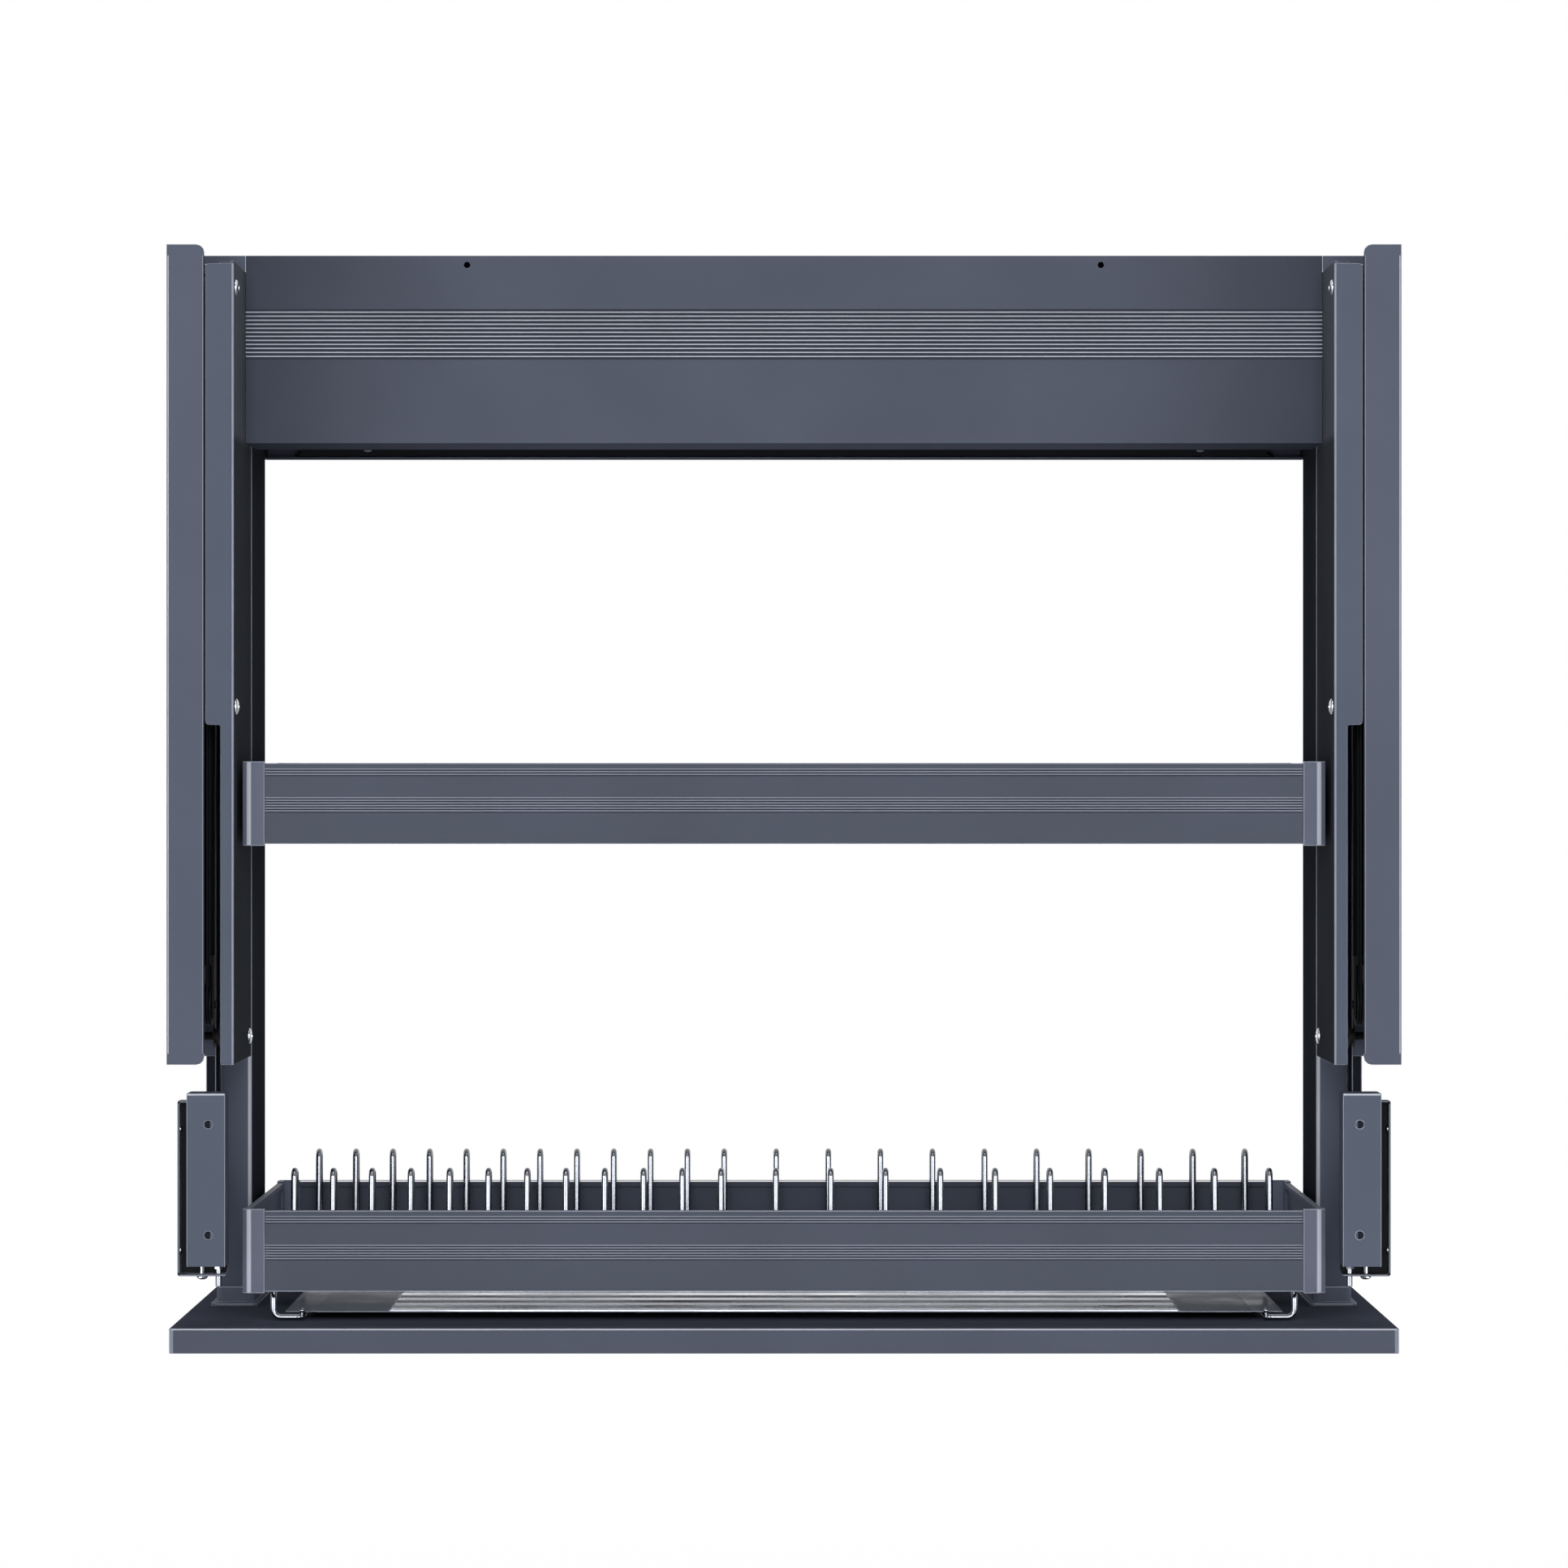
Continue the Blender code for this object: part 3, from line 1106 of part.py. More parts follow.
def build_top_pan():
    """Underside pan: lies on the fascia's flange and the shell's lip, with scooped ends."""
    front = TOP_BOX_FRONT + FASCIA_BOTTOM_FLANGE - PAN_LAP
    back = FRONT + TOP_BOX_BACK - SHELL_BACK_LIP + PAN_LAP
    half = WEB - PAN_END_INSET
    steps = 2 * ARC_STEPS
    shares = [step / steps for step in range(steps + 1)]
    right = [(half - PAN_END_SCOOP * math.sin(math.pi * s), front + (back - front) * s) for s in shares]
    outline = right + [(-x, y) for x, y in reversed(right)]
    low = TOP_BOX_BOTTOM + FASCIA_SHEET + RUNNING_GAP
    finish(extrude("top_pan", [outline], "Z", low, low + PAN_SHEET), DARK)


def build_tie(label, side):
    """Tie: joins the top box to the housing, with a flange on the housing's outer wall."""
    face = TOP_BOX_FRONT
    wall = HALF - HOUSING_SHEET - RUNNING_GAP
    inner = WEB
    plan = [
        ((side * inner, face), 0.0), ((side * wall, face), COVER_BEND),
        ((side * wall, face + TIE_WALL_FLANGE), 0.0),
        ((side * (wall - TIE_SHEET), face + TIE_WALL_FLANGE), 0.0),
        ((side * (wall - TIE_SHEET), face + TIE_SHEET), 0.0), ((side * inner, face + TIE_SHEET), 0.0),
    ]
    low = TOP_BOX_TOP - TIE_HEIGHT
    made = extrude(f"top_tie_{label}", [rounded(plan)], "Z", low, TOP_BOX_TOP)
    under_flange = side_box(
        f"tie_cover_cut_{label}", side, inner - CUT_OVERRUN, WEB + TOP_FLANGE_WIDTH + RUNNING_GAP,
        (face - CUT_OVERRUN, low - CUT_OVERRUN), (face + CUT_OVERRUN, COVER_TOP + RUNNING_GAP),
    )
    cut(made, under_flange)
    finish(made, SLATE)


def build_bracket_channel(label, side):
    """Bracket channel: a shallow tray behind the box, on an arm with a foot on the guide rail."""
    outer = HALF - BRACKET_OUTER_INSET
    inner = outer - BRACKET_WIDTH
    front = FRONT + BRACKET_FRONT
    plate_front = FRONT + BOX_DEPTH + RUNNING_GAP
    plate_back = plate_front + BRACKET_SHEET
    corners = [
        ((side * inner, BRACKET_BOTTOM), BRACKET_CORNER), ((side * outer, BRACKET_BOTTOM), BRACKET_SHEET),
        ((side * outer, BRACKET_TOP), BRACKET_SHEET), ((side * inner, BRACKET_TOP), BRACKET_SHEET),
    ]
    made = extrude(f"bracket_channel_{label}", [rounded(corners)], "Y", front, plate_back)
    inside = side_box(
        f"channel_room_{label}", side, inner - CUT_OVERRUN, outer - BRACKET_SHEET,
        (front - CUT_OVERRUN, BRACKET_BOTTOM + BRACKET_SHEET), (plate_front, BRACKET_TOP - BRACKET_SHEET),
    )
    cut(made, inside)
    notch = side_box(
        f"channel_notch_{label}", side, inner - CUT_OVERRUN, HALF - BOX_OUTER_INSET + RUNNING_GAP,
        (front - CUT_OVERRUN, BRACKET_TOP - BRACKET_SHEET * 2), (plate_front, BRACKET_TOP + CUT_OVERRUN),
    )
    cut(made, notch)
    low, high = GUIDE_BOTTOM + BRACKET_ARM_MARGIN, BRACKET_TOP - BRACKET_ARM_MARGIN
    foot = HOUSING_REAR
    weld(made, side_box(
        f"channel_arm_{label}", side, GUIDE_OUTER - BRACKET_ARM_SHEET, GUIDE_OUTER,
        (plate_back - WELD_OVERLAP, low), (foot, high),
    ))
    weld(made, side_box(
        f"channel_foot_{label}", side, GUIDE_INNER, GUIDE_OUTER - WELD_OVERLAP,
        (foot - BRACKET_ARM_SHEET, low + WELD_OVERLAP), (foot, high - WELD_OVERLAP),
    ))
    for name, inset, radius in (
        ("screw", SCREW_INSET, SCREW_SHANK_RADIUS), ("stud", STUD_INSET, STUD_PIN_RADIUS)
    ):
        y = FRONT + (BRACKET_FRONT + BOX_DEPTH) / 2
        outline = circle((side * (HALF - inset), y), radius + RUNNING_GAP)
        cut(made, extrude(
            f"channel_{name}_hole_{label}", [outline], "Z", BRACKET_BOTTOM - CUT_OVERRUN,
            BRACKET_BOTTOM + CUT_OVERRUN,
        ))
    finish(made, DARK)


def build_bracket_box(label, side):
    """Front box of the bracket: folded, open at the back, with two panel holes and a lower pin."""
    outer = HALF - BOX_OUTER_INSET
    inner = outer - BOX_WIDTH
    top = BOX_BOTTOM + BOX_HEIGHT
    y = FRONT + (BRACKET_FRONT + BOX_DEPTH) / 2
    travel = empty(f"bracket_height_{label}", (side * (HALF - SCREW_INSET), y, BOX_BOTTOM))
    made = side_box(f"bracket_box_{label}", side, inner, outer, (FRONT, BOX_BOTTOM), (FRONT + BOX_DEPTH, top))
    bevel = made.modifiers.new("folded_edges", "BEVEL")
    bevel.width = BOX_EDGE
    bevel.segments = 2
    room = side_box(
        f"box_room_{label}", side, inner + BOX_SHEET, outer - BOX_SHEET,
        (FRONT + BOX_SHEET, BOX_BOTTOM + BOX_SHEET), (FRONT + BOX_DEPTH + CUT_OVERRUN, top - BOX_SHEET),
    )
    cut(made, room)
    for index in range(2):
        z = top - BOX_HOLE_TOP_DROP - BOX_HOLE_SPACING * index
        outline = circle((side * (outer - BOX_HOLE_INSET), z), BOX_HOLE_RADIUS, MOUNT_HOLE_SIDES)
        cut(made, extrude(
            f"box_hole_{label}_{index}", [outline], "Y", FRONT - CUT_OVERRUN, FRONT + BOX_SHEET + CUT_OVERRUN
        ))
    outline = circle((side * (HALF - SCREW_INSET), y), SCREW_SHANK_RADIUS + RUNNING_GAP)
    cut(made, extrude(
        f"box_screw_hole_{label}", [outline], "Z", BOX_BOTTOM - CUT_OVERRUN, BOX_BOTTOM + CUT_OVERRUN
    ))
    pin = circle((side * (HALF - STUD_INSET), y), STUD_PIN_RADIUS, SMALL_SIDES)
    low = BOX_BOTTOM - STUD_PIN_DROP
    weld(made, extrude(f"box_pin_{label}", [pin], "Z", low, BOX_BOTTOM + BOX_SHEET * 2))
    finish(made, SLATE, travel)
    spin = empty(f"bracket_screw_spin_{label}", (side * (HALF - SCREW_INSET), y, BRACKET_BOTTOM))
    head = BRACKET_BOTTOM - RUNNING_GAP
    tip = BOX_BOTTOM + BOX_SHEET * 4
    profile = [
        (0.0, -SCREW_HEAD_HEIGHT), (SCREW_HEAD_RADIUS * 0.6, -SCREW_HEAD_HEIGHT * 0.85),
        (SCREW_HEAD_RADIUS, -SCREW_HEAD_HEIGHT * 0.35), (SCREW_HEAD_RADIUS, 0.0),
        (SCREW_SHANK_RADIUS, 0.0), (SCREW_SHANK_RADIUS, tip - head), (0.0, tip - head),
    ]
    place = (side * (HALF - SCREW_INSET), y, head)
    finish(turned(f"bracket_screw_{label}", profile, "Z", place, BOLT_SIDES), ZINC, spin)


def main():
    """Clears the scene and builds the rack."""
    for old in list(bpy.data.objects):
        bpy.data.objects.remove(old)
    lift = empty("lift_slide", (0.0, POST_FRONT, POST_BOTTOM))
    for label, side in SIDES.items():
        build_housing(label, side)
        build_cover(label, side)
        build_bolts(label, side)
        build_gas_spring(label, side)
        build_fixed_pulleys(label, side)
        build_cable(label, side)
        build_guide_rail(label, side)
        build_carriage(label, side, lift)
        build_post(label, side, lift)
        build_post_foot(label, side, lift)
        build_tray_runner(label, side, lift)
        build_tie(label, side)
        build_bracket_channel(label, side)
        build_bracket_box(label, side)
    build_panel(lift)
    build_basket("shelf", SHELF_BOTTOM, lift)
    build_basket("basket", LOWER_BASKET_BOTTOM, lift)
    build_shelf_grid(lift)
    build_plate_rows(lift)
    build_drip_tray(lift)
    build_fascia()
    build_top_shell()
    build_top_pan()


main()
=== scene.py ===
"""Looks of the pull-down dish rack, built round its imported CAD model, in metres, front towards -Y."""

import math

import bmesh
import bpy
from bpy.props import FloatProperty, IntProperty, StringProperty
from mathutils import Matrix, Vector


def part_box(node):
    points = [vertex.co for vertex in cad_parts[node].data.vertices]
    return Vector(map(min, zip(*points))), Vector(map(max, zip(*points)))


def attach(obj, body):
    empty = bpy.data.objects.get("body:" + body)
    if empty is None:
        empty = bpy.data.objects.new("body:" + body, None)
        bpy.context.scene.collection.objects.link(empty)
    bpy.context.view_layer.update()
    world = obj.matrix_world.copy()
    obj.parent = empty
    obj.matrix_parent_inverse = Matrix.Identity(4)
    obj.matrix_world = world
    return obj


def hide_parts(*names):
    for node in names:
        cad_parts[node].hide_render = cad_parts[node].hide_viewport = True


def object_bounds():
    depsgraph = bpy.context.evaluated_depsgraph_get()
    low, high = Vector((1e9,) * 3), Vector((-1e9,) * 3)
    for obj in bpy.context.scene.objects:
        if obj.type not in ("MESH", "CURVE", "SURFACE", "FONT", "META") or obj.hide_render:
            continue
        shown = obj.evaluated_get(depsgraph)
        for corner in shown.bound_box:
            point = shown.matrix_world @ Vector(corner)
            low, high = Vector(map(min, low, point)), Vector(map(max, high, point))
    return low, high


bl_info = {
    "name": "Pull-down dish rack",
    "version": (1, 0, 0),
    "blender": (4, 5, 0),
    "location": "View3D > Sidebar > Dish rack",
    "description": "Finishes, wire work, screws and studio of a pull-down dish rack",
    "category": "Object",
}

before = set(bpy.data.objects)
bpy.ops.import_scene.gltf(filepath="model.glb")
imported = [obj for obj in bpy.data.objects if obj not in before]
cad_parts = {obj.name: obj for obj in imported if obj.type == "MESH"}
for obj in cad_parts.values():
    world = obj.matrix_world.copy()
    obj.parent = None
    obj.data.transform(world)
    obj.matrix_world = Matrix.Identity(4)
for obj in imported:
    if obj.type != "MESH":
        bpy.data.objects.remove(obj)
CAD_BOX = [list(corner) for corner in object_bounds()]

MM = 0.001
SIDES = {"left": -1, "right": 1}
BASKETS = ("shelf", "basket")
FIXED = "casing"
LIFT = "lift_frame"
UP = (0, 0, 1)
MATERIALS = {}


# Nodes, pieces and places

def linear(channel):
    """One sRGB channel as linear light."""
    return channel / 12.92 if channel <= 0.04045 else ((channel + 0.055) / 1.055) ** 2.4


def shade(code):
    """A colour written as sRGB hex, as linear RGBA."""
    return (*(linear(int(code[i:i + 2], 16) / 255) for i in (1, 3, 5)), 1.0)


def add(tree, kind, settings=None, inputs=None, links=None):
    """Adds a node, sets its properties and sockets, and links others' outputs into it."""
    node = tree.nodes.new(kind)
    for name, value in (settings or {}).items():
        setattr(node, name, value)
    for name, value in (inputs or {}).items():
        node.inputs[name].default_value = value
    for name, (source, output) in (links or {}).items():
        tree.links.new(source.outputs[output], node.inputs[name])
    return node


def surface(name):
    """A new material, its empty tree, and the links that lay a pattern in the piece's own coordinates."""
    made = bpy.data.materials.new(name)
    made.use_nodes = True
    tree = made.node_tree
    tree.nodes.clear()
    return made, tree, {"Vector": (add(tree, "ShaderNodeTexCoord"), "Object")}


def clothe(node, finish):
    """Gives a CAD node a finish."""
    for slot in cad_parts[node].material_slots:
        slot.material = MATERIALS[finish]


def reach(node):
    """How far a node's inner and outer faces stand from the rack's middle plane."""
    low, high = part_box(node)
    return sorted((abs(low[0]), abs(high[0])))


def mesh_of(name, shape, smooth=True):
    """A bmesh as a mesh with its faces out."""
    bmesh.ops.recalc_face_normals(shape, faces=shape.faces)
    mesh = bpy.data.meshes.new(name)
    shape.to_mesh(mesh)
    shape.free()
    if smooth:
        mesh.shade_smooth()
        mesh.set_sharp_from_angle(angle=math.radians(40))
    return mesh


def piece(name, data, finish, body, replaced=()):
    """A bmesh or a curve as a piece that rides on a body and may stand for CAD nodes."""
    if isinstance(data, bmesh.types.BMesh):
        data = mesh_of(name, data)
    made = bpy.data.objects.new(name, data)
    bpy.context.scene.collection.objects.link(made)
    made.data.materials.append(MATERIALS[finish])
    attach(made, body)
    if replaced:
        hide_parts(*replaced)
    return made


def soften(made, width, limit):
    """Eases an object's sharp edges with a modifier, so that they catch the light."""
    bevel = made.modifiers.new("eased_edges", "BEVEL")
    bevel.width = width
    bevel.segments = 2
    bevel.limit_method = "ANGLE"
    bevel.angle_limit = math.radians(limit)
    bevel.harden_normals = True
    return bevel


# Turned, folded and bent shapes

def ring(shape, points):
    """A ring of vertices."""
    return [shape.verts.new(point) for point in points]


def bridge(shape, one, other):
    """Quads between two rings of equal length."""
    count = len(one)
    for index in range(count):
        after = (index + 1) % count
        shape.faces.new((one[index], one[after], other[after], other[index]))


def turn(profile, centre, axis, sides=32):
    """A solid turned from (radius, along) points in millimetres, about an axis through a centre."""
    shape = bmesh.new()
    direction = Vector(axis).normalized()
    across = direction.orthogonal().normalized()
    other = direction.cross(across)
    angles = [math.tau * step / sides for step in range(sides)]
    rings = []
    for radius, along in profile:
        middle = Vector(centre) + direction * (along * MM)
        if radius < 1e-4:
            rings.append([shape.verts.new(middle)])
            continue
        spokes = (across * math.cos(angle) + other * math.sin(angle) for angle in angles)
        rings.append(ring(shape, (middle + spoke * (radius * MM) for spoke in spokes)))
    for one, two in zip(rings, rings[1:]):
        if len(one) == 1 or len(two) == 1:
            tip, edge = (one, two) if len(one) == 1 else (two, one)
            for index in range(sides):
                shape.faces.new((tip[0], edge[index], edge[(index + 1) % sides]))
        else:
            bridge(shape, one, two)
    return shape


def tube(inner, outer, near, far):
    """The profile of a ring, in millimetres, for turning."""
    return [(inner, near), (outer, near), (outer, far), (inner, far), (inner, near)]


def prism(shape, outline, axis, low, high):
    """Adds a closed prism: the outline in the two other axes, from low to high along X or Z."""
    near, far = (
        ring(shape, ((along, u, v) if axis == "X" else (u, v, along) for u, v in outline)) for along in (low, high)
    )
    bridge(shape, near, far)
    shape.faces.new(near)
    shape.faces.new(far)


def slab(shape, one, other, edge=0.0, segments=2):
    """Adds a box between two opposite corners, its edges eased by a bevel."""
    low, high = (Vector([pick(pair) for pair in zip(one, other)]) for pick in (min, max))
    middle, size = (low + high) / 2, high - low
    made = bmesh.ops.create_cube(shape, size=1.0)["verts"]
    for vertex in made:
        vertex.co = Vector([c * s for c, s in zip(vertex.co, size)]) + middle
    if edge:
        edges = list({e for v in made for e in v.link_edges})
        bmesh.ops.bevel(shape, geom=edges, offset=edge, segments=segments, affect="EDGES", profile=0.5)


def slab_piece(name, one, other, finish, body, edge=0.0, segments=2):
    """A box as a piece of its own."""
    shape = bmesh.new()
    slab(shape, one, other, edge, segments)
    piece(name, shape, finish, body)


def rim(shape, corner, radius, signs, axis, low, high, sweep=(15, 75)):
    """Adds a thin shell over a rounded edge, from low to high along the edge's axis. The corner is where
    the two faces would meet, and the signs say which way the edge points."""
    angles = [math.radians(sweep[0] + (sweep[1] - sweep[0]) * step / 6) for step in range(7)]

    def arc(size):
        return [(corner[0] + signs[0] * (size * math.cos(angle) - radius),
                 corner[1] + signs[1] * (size * math.sin(angle) - radius)) for angle in angles]
    prism(shape, arc(radius + 0.02 * MM) + arc(radius - 0.1 * MM)[::-1], axis, low, high)


def fillet(before, corner, after, radius, steps):
    """An arc in space that rounds a corner."""
    back = (before - corner).normalized()
    ahead = (after - corner).normalized()
    half = back.angle(ahead) / 2
    start = corner + back * (radius / math.tan(half))
    end = corner + ahead * (radius / math.tan(half))
    centre = corner + (back + ahead).normalized() * (radius / math.sin(half))
    spoke = start - centre
    sweep = spoke.angle(end - centre)
    side = (end - centre - spoke * math.cos(sweep)).normalized() * radius
    turns = (sweep * step / steps for step in range(steps + 1))
    return [centre + spoke * math.cos(t) + side * math.sin(t) for t in turns]


def bent(corners, radius, closed=False):
    """A wire's path through corners, each bent to a radius in eight steps."""
    places = [Vector(corner) for corner in corners]
    path = []
    for index, place in enumerate(places):
        if closed or 0 < index < len(places) - 1:
            path += fillet(places[index - 1], place, places[(index + 1) % len(places)], radius, 8)
        else:
            path.append(place)
    return path


def wire(name, paths, radius, replaced=(), closed=False):
    """Bright round wire along each path, as one curve piece on the lifted frame."""
    curve = bpy.data.curves.new(name, "CURVE")
    curve.dimensions = "3D"
    curve.bevel_depth = radius
    curve.bevel_resolution = 3
    curve.use_fill_caps = not closed
    for path in paths:
        spline = curve.splines.new("POLY")
        spline.points.add(len(path) - 1)
        for point, place in zip(spline.points, path):
            point.co = (*place, 1.0)
        spline.use_cyclic_u = closed
        spline.use_smooth = True
    return piece(name, curve, "wire", LIFT, replaced)


# Materials

def drift(tree, laid, pitch, detail, code, shares):
    """A tone that drifts between two shares of a colour, over clouds of a size in millimetres. Gives the
    clouds' node and the tone's."""
    clouds = add(tree, "ShaderNodeTexNoise", inputs={"Scale": 1 / (pitch * MM), "Detail": detail}, links=laid)
    tone = add(tree, "ShaderNodeValToRGB", links={"Fac": (clouds, "Fac")})
    for element, place, share in zip(tone.color_ramp.elements, (0.3, 0.7), shares):
        element.position = place
        element.color = (*(min(c * share, 1) for c in shade(code)[:3]), 1)
    return clouds, tone


def graded(tree, laid, tone, grade):
    """The tone, or where there is a grade, the tone times a share that sets in from start to end, as
    distances from zero on an axis."""
    if not grade:
        return tone, "Color"
    axis, start, end, share = grade
    place = add(tree, "ShaderNodeSeparateXYZ", links=laid)
    distance = add(tree, "ShaderNodeMath", {"operation": "ABSOLUTE"}, links={0: (place, axis)})
    factor = add(tree, "ShaderNodeMapRange", {"interpolation_type": "SMOOTHSTEP"},
                 {"From Min": start, "From Max": end, "To Min": 1.0, "To Max": share},
                 {"Value": (distance, "Value")})
    return add(tree, "ShaderNodeVectorMath", {"operation": "SCALE"},
               links={0: (tone, "Color"), "Scale": (factor, "Result")}), "Vector"


def finished(made, tree, gloss, relief, settings, links=None):
    """Ends a material: the gloss says which pattern carries the roughness between which values, the
    relief which pattern lifts the surface, how strongly and how many millimetres high."""
    pattern, smooth, rough = gloss[:3]
    begin, stop = gloss[3:] or (0.0, 1.0)
    roughness = add(tree, "ShaderNodeMapRange", inputs={
        "From Min": begin, "From Max": stop, "To Min": smooth, "To Max": rough,
    }, links={"Value": (pattern, "Fac")})
    pattern, strength, height = relief
    bump = add(tree, "ShaderNodeBump", inputs={"Strength": strength, "Distance": height * MM},
               links={"Height": (pattern, "Fac")})
    shader = add(tree, "ShaderNodeBsdfPrincipled", inputs=settings,
                 links={"Roughness": (roughness, "Result"), "Normal": (bump, "Normal"), **(links or {})})
    add(tree, "ShaderNodeOutputMaterial", links={"Surface": (shader, "BSDF")})
    return made


def powder_coat(name, code, roughness, gleam, grain=1.0, grade=None):
    """Slate polyester powder coat baked on folded steel: an even satin film with a fine orange peel,
    slightly paler where the film is thin and a little uneven in gloss from the spray gun's passes.
    A grade scales the tone along an axis; the cover's web uses it as a painted reflection of the fascia, paler
    above the fascia's lower edge."""
    made, tree, laid = surface(name)
    # Orange peel: dimples about 0.7 mm across; the render shows them only as a soft break in the gloss
    peel = add(tree, "ShaderNodeTexNoise", inputs={"Scale": 1 / (0.7 * MM), "Detail": 2.0}, links=laid)
    # Passes of the spray gun: bands about 140 mm wide
    passes, tone = drift(tree, laid, 140, 3.0, code, (0.93, 1.06))
    return finished(made, tree, (passes, roughness - 0.04, roughness + 0.05), (peel, 0.12 * grain, 0.05),
                    {"Specular IOR Level": gleam}, {"Base Color": graded(tree, laid, tone, grade)})


def anodised(name, code, roughness, gleam, grade=None):
    """Slate anodised aluminium, extruded and fine-brushed along its length: a cool satin sheen whose
    hair-fine draw lines run the extrusion's way and stretch each highlight across them. A grade darkens the tone
    towards the ends of an axis; the fascia uses it as painted shade beside the covers."""
    made, tree, laid = surface(name)
    # Draw lines 0.25 mm apart, hundreds of times longer than wide; drawn at 0.5 mm so that they show
    stretch = add(tree, "ShaderNodeMapping", inputs={"Scale": (4.0, 4.0, 1 / (0.5 * MM))}, links=laid)
    lines = add(tree, "ShaderNodeTexNoise", inputs={"Scale": 1.0, "Detail": 2.0},
                links={"Vector": (stretch, "Vector")})
    # The bath's tone drifts over about 90 mm
    _, tone = drift(tree, laid, 90, 2.0, code, (0.94, 1.05))
    return finished(made, tree, (lines, roughness - 0.05, roughness + 0.05), (lines, 0.06, 0.03),
                    {"Specular IOR Level": gleam}, {"Base Color": graded(tree, laid, tone, grade)})


def bare_metal(name, code, roughness, spots=25.0, marks=0.9, relief=0.01, rim_code="#ffffff"):
    """Bare polished or plated metal: mirror-like, with faint drawing marks and a few dull handled spots,
    both given by their size in millimetres. The rim code tints what it reflects at a glancing angle."""
    made, tree, laid = surface(name)
    drawn = add(tree, "ShaderNodeTexNoise", inputs={"Scale": 1 / (marks * MM), "Detail": 1.0}, links=laid)
    smears = add(tree, "ShaderNodeTexNoise", inputs={"Scale": 1 / (spots * MM), "Detail": 2.0}, links=laid)
    return finished(made, tree, (smears, roughness * 0.7, roughness * 1.4, 0.3, 0.7), (drawn, relief, 0.02),
                    {"Base Color": shade(code), "Metallic": 1.0, "Specular Tint": shade(rim_code)})


def moulded(name, code, roughness, grit=0.5, gleam=0.5):
    """Moulded nylon or rubber: even colour with a spark-eroded mould's fine grain, in millimetres."""
    made, tree, laid = surface(name)
    grain = add(tree, "ShaderNodeTexNoise", inputs={"Scale": 1 / (grit * MM), "Detail": 3.0}, links=laid)
    return finished(made, tree, (grain, roughness - 0.05, roughness + 0.06), (grain, 0.15, 0.04),
                    {"Base Color": shade(code), "Specular IOR Level": gleam})


def build_materials(colours):
    """Every finish of the rack, once."""
    fascia_low, fascia_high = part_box("top_fascia")
    fold, end = fascia_low[2], fascia_high[0]
    MATERIALS.update(
        housing=powder_coat("slate_powder_coated_steel", colours.housing_hex, 0.45, 0.04),
        cover=powder_coat("slate_powder_coated_cover", colours.cover_hex, 0.6, 0.0),
        # The cover's inward web: darker than the cover as painted shade, and paler above the fascia's lower edge
        # as a painted reflection of the fascia
        web=powder_coat("painted_shade_slate_web", "#484b52", 0.6, 0.0,
                        grade=("Z", fold - 4 * MM, fold + 4 * MM, 2.0)),
        # The top box's underside pan: near black as painted shade
        pan=powder_coat("painted_shade_black_pan", "#232428", 0.6, 0.0),
        extrusion=anodised("slate_anodised_aluminium", colours.rail_hex, 0.45, 0.03),
        # A darker copy of the rails' anodising: painted shade inside the baskets
        back_rail=anodised("painted_shade_anodised_back_rail", colours.back_rail_shade_hex, 0.5, 0.0),
        post=anodised("slate_anodised_post", colours.post_hex, 0.6, 0.0),
        # Darker towards each end, over its last 160 mm: painted shade beside the covers
        fascia=anodised("slate_anodised_fascia", colours.fascia_hex, 0.5, 0.0,
                        grade=("X", end - 160 * MM, end + 20 * MM, 0.6)),
        corner=powder_coat("slate_painted_nylon_corner", colours.corner_hex, 0.35, 0.05, grain=0.3),
        panel=powder_coat("slate_lacquered_board", colours.panel_hex, 0.35, 0.0, grain=0.8),
        dark=powder_coat("black_coated_steel", "#131518", 0.5, 0.06),
        rail=powder_coat("dark_slate_coated_steel", "#292c34", 0.5, 0.0),
        # A paler copy of the rails' anodising: painted light on side faces the front lamps barely reach
        side_rail=anodised("painted_light_anodised_side_rail", colours.side_rail_lit_hex, 0.45, 0.03),
        # A paler copy of the cover's coat: painted light on feet that sit in shade; the pan's screws share it
        foot=powder_coat("painted_light_slate_foot", colours.foot_lit_hex, 0.5, 0.02),
        # A near-black strip on the posts' inner sides: painted shade
        insert=moulded("painted_shade_post_side", "#34373f", 0.6, grit=0.8, gleam=0.0),
        groove=anodised("shaded_slate_groove", colours.groove_hex, 0.6, 0.0),
        # Pale lands, edge strips and the flanks of the corners' highlights: painted highlights
        land=anodised("painted_highlight_slate_land", colours.land_highlight_hex, 0.5, 0.1),
        # Near-white lines on the fascia's crests, the board's top edge and the corners' roundings: painted
        # highlights
        bright=anodised("painted_highlight_bright_line", colours.bright_highlight_hex, 0.45, 0.1),
        # Pale eased edges, bends, collars, rail edges and inner lands: painted highlights
        edge=anodised("painted_highlight_slate_edge", colours.edge_highlight_hex, 0.5, 0.1),
        # Near-white narrow edges: painted highlights
        glint=anodised("painted_highlight_slate_glint", colours.glint_highlight_hex, 0.4, 0.1),
        wire=bare_metal("polished_stainless_wire", "#767980", 0.2, marks=25.0, relief=0.003),
        tray=bare_metal("pressed_stainless_sheet", "#747882", 0.28, 60.0, 20.0, 0.004, "#989ba2"),
        # The ribs' near-white tops as painted highlight, and their sides, paler than the tray, as painted light
        rib=bare_metal("painted_highlight_stainless_rib", "#f2f4f8", 0.2, 60.0, 30.0, 0.001),
        rib_front=bare_metal("painted_light_stainless_rib_side", "#8b8e95", 0.28, 60.0, 20.0, 0.004, "#b0b3b9"),
        zinc=bare_metal("bright_zinc_plate", "#c6c9ce", 0.2, spots=12.0),
        nylon=moulded("black_moulded_nylon", "#191a1f", 0.55, gleam=0.1),
        rubber=moulded("black_moulded_rubber", "#0f0f10", 0.7, grit=0.8),
    )


